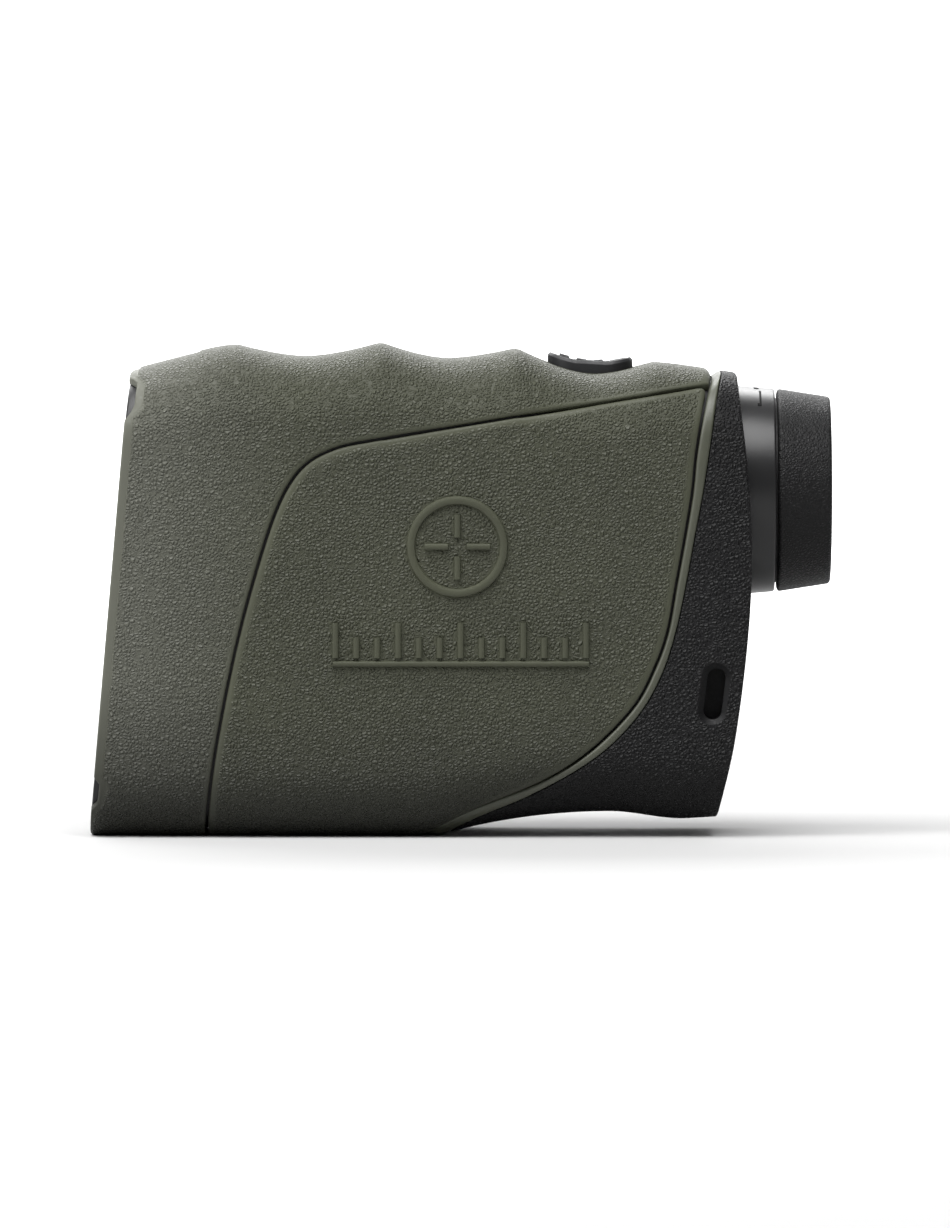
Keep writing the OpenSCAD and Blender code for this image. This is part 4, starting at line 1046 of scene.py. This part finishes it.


# The third olive tone is painted shade for the lower parts of the shell and the saddle.
olive, oliveLow, olivePaintedShade = shade(66, 68, 54), shade(62, 64, 51), shade(40, 41, 34)
blackTone, blackLow = shade(18, 18, 19), shade(15, 15, 16)
finishes = {
    # The shell's colour turns paler towards the front (painted sheen) and darker towards the bottom
    # (painted shade).
    "olive_shell": grainedFinish("shellArmour", olive, oliveLow, paintedShadeBelow=(4, 24, olivePaintedShade),
                                 paintedSheenAhead=(-48, -24, shade(88, 89, 80))),
    "olive_armour": grainedFinish("saddleArmour", olive, oliveLow, paintedShadeBelow=(2, 20, olivePaintedShade)),
    "olive_trim": smoothFinish("satinTrim", shade(66, 68, 56), shade(61, 63, 52), (0.38, 0.5)),
    # The housing darkens towards the bottom: painted shade.
    "black_housing": grainedFinish("housingGrain", blackTone, blackLow, specular=0.22,
                                   paintedShadeBelow=(2, 16, shade(10, 10, 10))),
    "black_rubber": grainedFinish("cupRubber", shade(12, 12, 13), shade(10, 10, 11), cell=0.45, bump=0.08,
                                  rough=(0.45, 0.6), mark=False, specular=0.24),
    "black_key": smoothFinish("keyRubber", shade(38, 38, 40), shade(30, 30, 31), (0.4, 0.55), bump=0.01,
                              specular=0.3),
    "front_black": smoothFinish("barrelPaint", shade(26, 26, 27), shade(20, 20, 21), (0.5, 0.65)),
    "plate_black": smoothFinish("anodisedPlate", shade(22, 22, 23), shade(18, 18, 19), (0.34, 0.46), 0.3,
                                stretch=(1, 1, 8), bump=0.004),
    "barrel_black": smoothFinish("innerBlack", shade(22, 22, 23), shade(17, 17, 18), (0.7, 0.85)),
    "collar_grey": smoothFinish("collarSatin", shade(28, 28, 29), shade(25, 25, 26), (0.3, 0.38),
                                stretch=(30, 1, 1), bump=0.003, specular=0.4),
    "lens_glass": coatedGlass("blueCoatedGlass", shade(168, 200, 218), shade(60, 96, 150)),
    "receiver_glass": coatedGlass("redCoatedGlass", shade(150, 40, 44), shade(96, 22, 60)),
    "steel_screw": smoothFinish("screwSteel", shade(120, 120, 122), shade(96, 96, 98), (0.28, 0.42), 1.0),
    "bright_steel": smoothFinish("platedSteel", shade(190, 190, 188), shade(172, 172, 170),
                                 (0.2, 0.32), 1.0),
    "circuit_green": smoothFinish("solderMask", shade(34, 92, 56), shade(22, 74, 44), (0.25, 0.4), coat=0.4,
                                  slowScale=700.0),
    "chip_black": smoothFinish("chipResin", shade(36, 36, 38), shade(28, 28, 30), (0.45, 0.6)),
    "flex_amber": smoothFinish("flexFilm", shade(186, 116, 44), shade(160, 92, 30), (0.25, 0.35), coat=0.3),
    "cell_gold": smoothFinish("cellWrap", shade(196, 160, 78), shade(176, 138, 60), (0.25, 0.35), 0.4),
    "black_seal": smoothFinish("sealRubber", shade(30, 30, 31), shade(24, 24, 25), (0.5, 0.65)),
}
markPaint = smoothFinish("indexPaint", shade(12, 12, 12), shade(8, 8, 8), (0.6, 0.7), specular=0.1)
slotOf = {}
for name, part in frame["nodes"].items():
    slotOf[name] = part.data.materials[0].name
    part.data.materials.clear()
    part.data.materials.append(finishes[slotOf[name]])
print("finishes made:", len(finishes))

# Body pieces in place of their CAD nodes.

mainShell = standIn(carve(makeShell(), [keyOpening()]), "main_shell")
armourWall = standIn(carve(makeCore(), [keyOpening()]), "main_shell")
armourWall.data.materials[0] = finishes["front_black"]
print("main shell:", len(mainShell.data.polygons), "faces")

gripSaddle = makeSaddle()
relief = makeMesh("relief", [part for side in (-1, 1) for part in reliefParts(side)])
gripSaddle = carve(gripSaddle, [relief], "UNION")
standIn(gripSaddle, "grip_saddle")
print("grip saddle:", len(gripSaddle.data.polygons), "faces")

standIn(makeTrim(), "joint_trim")
rearHousing = standIn(finishHousing(makeHousing()), "rear_housing")
standIn(makePlate(), "front_plate")
print("housing and plate:", len(rearHousing.data.polygons), "faces")

# Turned parts: [x, radius] round the viewing, emitter and receiver axes.


def turnedPart(name, profile, height, *nodes, reach=0.15):
    return standIn(makeMesh(name, [turned(softened(profile, reach), height)]), *nodes)


# Depth of a spherical face at each radius.
def sag(curve, r):
    return 0 * r if curve == 0 else np.sign(curve) * (abs(curve) - np.sqrt(curve ** 2 - r ** 2))


# A lens between two spherical faces, with a narrow bevel round its rim.
def lensPart(name, x0, x1, radius, frontCurve, backCurve, height, *nodes):
    r = radius * np.linspace(0, 1, 26)
    front = np.stack([x0 + sag(frontCurve, r), r], -1)
    back = np.stack([x1 - sag(backCurve, r), r], -1)[::-1]
    bevel = np.array([[front[-1, 0] + 0.08, radius + 0.04], [back[0, 0] - 0.08, radius + 0.04]])
    profile = np.concatenate([front[:-1], [front[-1] - [0.02, 0.05]], bevel, back])
    return standIn(makeMesh(name, [turned(profile, height, closed=False)], 30), *nodes)


turnedPart("objectiveRing", [[-46.9, 11.7], [-46.9, 12.6], [-44.6, 12.6], [-44.78, 12], [-45.4, 11.7]],
           viewHeight, "objective_ring", reach=0.1)
turnedPart("objectiveBarrel", [
    [-47, 12.65], [-47, 13.6], [-42.45, 13.6], [-42.45, 14.4], [-41.3, 14.4], [-41.3, 13.6],
    [-12, 13.6], [-12, 12], [-16, 11.2], [-39.1, 11.7], [-39.1, 12.65]], viewHeight, "objective_barrel")
turnedPart("receiverRing", [[-50.1, 8.9], [-50.1, 9.85], [-48.55, 9.85], [-48.76, 9.25], [-49.2, 8.9]],
           receiverHeight, "receiver_ring", reach=0.1)
turnedPart("receiverTube", [
    [-50.2, 9.9], [-50.2, 10.6], [-42.6, 10.6], [-20, 6.6], [-15.6, 6.6], [-15.6, 5.2], [-21, 5.2],
    [-42.8, 9], [-44.8, 9], [-44.8, 9.9]], receiverHeight, "receiver_tube")
turnedPart("emitterBarrel", [
    [-49.5, 2.75], [-49.5, 3.4], [-28, 3.4], [-28, 2.9], [-30.5, 2.9], [-30.5, 2.2], [-46.7, 2.2],
    [-46.7, 2.75]], emitterHeight, "emitter_barrel", reach=0.08)
lensPart("objectiveCrown", -46.1, -41.1, 12.56, 52, 52, viewHeight, "objective_crown")
lensPart("objectiveFlint", -41.08, -39.2, 12.56, -52, 0, viewHeight, "objective_flint")
lensPart("emitterLens", -49.2, -46.8, 2.66, 9, 0, emitterHeight, "emitter_lens")
lensPart("receiverLens", -49.9, -44.9, 9.76, 34, 0, receiverHeight, "receiver_lens")
lensPart("fieldLens", 31.4, 34.5, 10.16, 40, 40, viewHeight, "field_lens")
lensPart("middleLens", 37.6, 43.2, 10.46, 46, 24, viewHeight, "middle_lens")
lensPart("eyeLens", 43.5, 46, 9.76, 34, 60, viewHeight, "eye_lens")

# Eyepiece.

collar = {"start": 29.5, "seat": 41.0, "end": 46.7, "cone": 5.5, "bore": 13.8, "root": 15.6,
          "lip": 15.13, "neck": 14.9}
cup = {"start": 47.05, "root": 15.07, "tip": 14.0, "corner": 0.6, "lip": 10.6}
tip = body["halfLength"]

keySlot = {"start": 28, "end": 34.7, "width": 1.9}
collarPiece = makeMesh("eyepieceCollar", [turned(softened([
    [collar["start"], collar["bore"]], [collar["start"], collar["neck"]], [collar["seat"], collar["neck"]],
    [collar["seat"], collar["root"]], [collar["end"] - 0.2, collar["lip"]],
    [collar["end"], collar["lip"] - 0.2], [collar["end"], collar["bore"]]], 0.12), viewHeight)])
keyRing = planRing(keySlot["start"], keySlot["end"], keySlot["width"], 0.3, 48)
keyway = makeMesh("keyway", [prism(keyRing, (viewHeight - 15.5, viewHeight - 12.5))])
standIn(carve(collarPiece, [keyway]), "eyepiece_collar")

turnedPart("dioptreRing", [
    [35, 12.73], [35, 13.74], [36.9, 13.74], [36.9, 13], [38, 13], [38, 13.74], [47, 13.74],
    [47, 14.1], [48, 14.1], [48, 13.2], [53.2, 13.2], [53.2, 11.2], [52, 11.2], [49.4, 12.73]],
    viewHeight, "diopter_ring", reach=0.1)
turnedPart("ocularCell", [
    [31.2, 10.3], [31.2, 13.7], [32.6, 13.7], [32.6, 12.65], [46.4, 12.65], [46.4, 9.5], [45.6, 9.9],
    [43.6, 9.9], [43.6, 10.6], [37.4, 10.6], [37.4, 9.4], [34.6, 9.4], [34.6, 10.3]],
    viewHeight, "ocular_cell", reach=0.08)


# The cup tapers straight from root to end, and its lip turns in.
def cupProfile():
    t = np.linspace(0, 1, 24)
    first, last = cup["start"] + 0.5, tip - cup["corner"]
    outer = np.stack([first + t * (last - first), cup["root"] + (cup["tip"] - cup["root"]) * t], -1)
    turn = np.linspace(0, quarterTurn, 8)
    end = np.stack([last + cup["corner"] * np.sin(turn),
                    cup["tip"] - cup["corner"] * (1 - np.cos(turn))], -1)
    lip = [[tip, 12.3], [tip - 0.25, 11.7], [tip - 0.7, 11.1], [tip - 1.2, 10.75],
           [tip - 1.6, cup["lip"]], [tip - 1.75, cup["lip"] + 0.1], [tip - 1.75, 13.25],
           [48.05, 13.25], [48.05, 14.2], [cup["start"], 14.2], [cup["start"], cup["root"] - 0.4],
           [cup["start"] + 0.12, cup["root"] - 0.15], [cup["start"] + 0.35, cup["root"]]]
    return np.concatenate([outer, end, lip])


standIn(makeMesh("eyecupRubber", [turned(cupProfile(), viewHeight)]), "eyecup")
print("eyepiece done")

standIn(makeKeyFrame(), "key_frame")
keyStart = keys["start"] + keys["rim"] + keys["gap"]
keyEnd = keys["end"] - keys["rim"] - keys["gap"]
splitGap = keys["gap"] / 2
standIn(makeKey("fireKey", keyStart, keys["split"] - splitGap, keys["fireRise"], keys["ribs"], (1.1, 0)),
        "fire_key")
standIn(makeKey("modeKey", keys["split"] + splitGap, keyEnd, keys["modeRise"], [], (0, 1.1)), "mode_key")

# Battery cap and rear screws.

cap = {
    "profile": [[-6.35, 0], [-6.35, 9], [-6.15, 9.2], [-4.9, 9.2], [-4.9, 8.4], [-3.6, 8.4],
                [-3.6, 9.2], [-2.35, 9.2], [-2.35, 10.35], [-0.75, 10.35], [-0.3, 9.9],
                [-0.3, 8.6], [-0.55, 8.35], [-0.55, 8.05], [-0.3, 7.8], [-0.3, 0]],
    "slot": [13, 1.8, 0.88],             # length, width and corner of the coin slot
    "levels": [(-1.7, 0), (-0.55, 0), (-0.25, 0.28), (1, 0.3)],    # its height, and how far it widens
    "flute": [[-2.0, 0], [-2.0, 0.42], [0.5, 0.42], [0.5, 0]],
    "flutes": 30, "fluteAt": 10.55, "fluteTurn": 0.1,
}


# Takes points laid out round an upright axis to the leaning axis of the cap's bore.
def atBore(points):
    along, up = points[..., 2], points[..., 0]
    c, s = np.cos(bore["tilt"]), np.sin(bore["tilt"])
    return np.stack([bore["origin"] + along * c + up * s, points[..., 1],
                     bore["height"] - along * s + up * c], -1)


def makeCap():
    profile = softened(cap["profile"], 0.12, closed=False)
    piece = makeMesh("batteryCap", [turned(profile, closed=False, **bore)])
    length, width, corner = cap["slot"]
    rings = []
    for along, grow in cap["levels"]:
        ring = planRing(-length / 2 - grow, length / 2 + grow, width + 2 * grow, corner + grow, 64)
        rings.append(np.column_stack([ring, np.full(64, along)]))
    cuts = [makeMesh("coinSlot", [loft(atBore(np.array(rings)))])]
    flute, faces, tone = turned(cap["flute"], 0, closed=False, sides=12)
    for angle in np.linspace(0, 2 * np.pi, cap["flutes"], endpoint=False) + cap["fluteTurn"]:
        local = np.stack([flute[:, 2] + cap["fluteAt"] * np.cos(angle),
                          flute[:, 1] + cap["fluteAt"] * np.sin(angle), flute[:, 0]], -1)
        cuts.append(makeMesh("flute", [(atBore(local), faces, tone)]))
    return carve(piece, cuts)


standIn(makeCap(), "battery_cap")


# A pan head with a cross recess on a plain shank, its head towards the rear.
def makeScrew(side, y, z, seat):
    dome = np.linspace(0, quarterTurn, 8)
    end, shank = seat - screwSize["long"], screwSize["shank"]
    profile = [[end, 0], [end, shank], [seat, shank], [seat, screwSize["head"]]]
    profile += [[seat + 0.5 + 0.7 * np.sin(t), 1.3 + 0.5 * np.cos(t)] for t in dome]
    profile.append([seat + 1.2, 0])
    screw = makeMesh("screw", [turnedAside(profile, z, side * y)])
    cuts = []
    for long, wide in ((2.2, 0.45), (0.45, 2.2)):
        ring = planRing(-long / 2, long / 2, wide, 0.1, 32)
        rings = [np.column_stack([np.full(32, x), side * y + grow * ring[:, 0], z + grow * ring[:, 1]])
                 for x, grow in ((seat + 0.45, 0.55), (seat + 1.3, 1.05))]
        cuts.append(makeMesh("recess", [loft(np.array(rings))]))
    return carve(screw, cuts)


screws = [makeScrew(side, *spot) for side in (-1, 1) for spot in screwSpots]
rearScrews = standIn(carve(screws[0], screws[1:], "UNION"), "rear_screws")
rearScrews.name = "rearScrews"
print("cap and screws done")

# Index mark on the collar.

mark = {"proud": 0.06, "strokes": [      # x from, to, and height above the axis from, to
    [44.35, 44.65, 12.8, 14.95], [44.05, 44.34, 12.8, 13.15], [43.6, 44.34, 15.2, 15.38]]}


# A small patch of paint on the collar: x range by angle range round the viewing axis.
def markPatch(x0, x1, angle0, angle1):
    x = np.linspace(x0, x1, 3)[:, None]
    angle = np.linspace(angle0, angle1, 8)[None]
    radius = collar["root"] + (collar["lip"] - collar["root"]) * (x - collar["seat"]) / collar["cone"]
    grids = []
    for lift in (mark["proud"], -0.05):
        r = radius + lift
        grids.append(np.stack(np.broadcast_arrays(
            x, -r * np.cos(angle), viewHeight + r * np.sin(angle)), -1))
    return slab(grids[0], grids[1])


# Angle round the collar at which its near side stands at a height above the axis.
def collarAngle(height):
    return np.arcsin(min(0.999, height / (collar["lip"] + 0.3)))


indexMark = makeMesh("indexMark", [markPatch(x0, x1, collarAngle(low), collarAngle(high))
                                   for x0, x1, low, high in mark["strokes"]])
indexMark.data.materials.append(markPaint)
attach(indexMark, "housing")

# Floor, light and camera.

studio = {
    "floor": 6.0, "wallAt": 2.4, "floorTone": (0.43, 0.43, 0.43, 1), "hazeTone": (0.41, 0.41, 0.41, 1),
    "world": 0.2,
    "lights": [
        # name, watts, size, place, aim
        ["overhead", 30.0, (1.4, 0.8), (-0.15, -0.4, 1.2), (0, -0.02, 0.04)],
        ["back", 13.0, (1.3, 0.5), (-0.3, 0.9, 0.9), (0, 0, 0.03)],
        ["left", 13.0, (0.5, 0.9), (-1.15, -0.7, 0.75), (-0.03, 0, 0.04)],
        ["backdrop", 380.0, (3.0, 1.0), (0, 1.3, 1.9), (0, 3.4, 0.5)],
    ],
    "distance": 1.8, "visible": 0.1832, "elevation": np.radians(2.0),
    "aim": (0.0021, 0, 0.0325),
}


# The floor sweeps up behind the object in a quarter round.
def makeFloor():
    reach, back = studio["floor"], studio["wallAt"]
    turn = np.linspace(0, quarterTurn, 24)
    line = np.concatenate([[[-3.5, 0]], np.stack([back + np.sin(turn), 1 - np.cos(turn)], -1),
                           [[back + 1, 5]]])
    x = np.array([-reach, reach]) / metre
    y, z = line[:, :1] / metre, line[:, 1:] / metre - 0.02
    points = np.stack(np.broadcast_arrays(x, y, z), -1)
    piece = makeMesh("floor", [grid(points)])
    material, tree, out = blankMaterial("paleSweep")
    place = node(tree, "ShaderNodeTexCoord").outputs["Object"]
    haze = node(tree, "ShaderNodeTexNoise", {"Vector": place, "Scale": 3.0}).outputs["Fac"]
    tone = mixColour(tree, haze, studio["floorTone"], studio["hazeTone"])
    shader = node(tree, "ShaderNodeBsdfPrincipled", {"Base Color": tone, "Roughness": 0.9})
    tree.links.new(shader.outputs[0], out.inputs[0])
    piece.data.materials.append(material)


makeFloor()
world = bpy.data.worlds.new("softWhite")
world.use_nodes = True
world.node_tree.nodes["Background"].inputs["Color"].default_value = (1, 1, 1, 1)
world.node_tree.nodes["Background"].inputs["Strength"].default_value = studio["world"]
bpy.context.scene.world = world
bpy.context.scene.view_settings.view_transform = "Standard"


def turnTo(thing, aim):
    way = Vector(aim) - thing.location
    thing.rotation_euler = way.to_track_quat("-Z", "Y").to_euler()


for name, power, size, place, aim in studio["lights"]:
    light = bpy.data.lights.new(name, "AREA")
    light.shape = "RECTANGLE"
    light.size, light.size_y = size
    light.energy = power
    lamp = bpy.data.objects.new(name, light)
    lamp.location = place
    bpy.context.scene.collection.objects.link(lamp)
    turnTo(lamp, aim)

cameraData = bpy.data.cameras.new("camera")
cameraData.sensor_width = 36
cameraData.lens = 36 * studio["distance"] / studio["visible"]
camera = bpy.data.objects.new("camera", cameraData)
aim = np.array(studio["aim"])
camera.location = aim + studio["distance"] * np.array(
    [0, -np.cos(studio["elevation"]), np.sin(studio["elevation"])])
turnTo(camera, studio["aim"])
bpy.context.scene.collection.objects.link(camera)
bpy.context.scene.camera = camera

print("light and camera set")
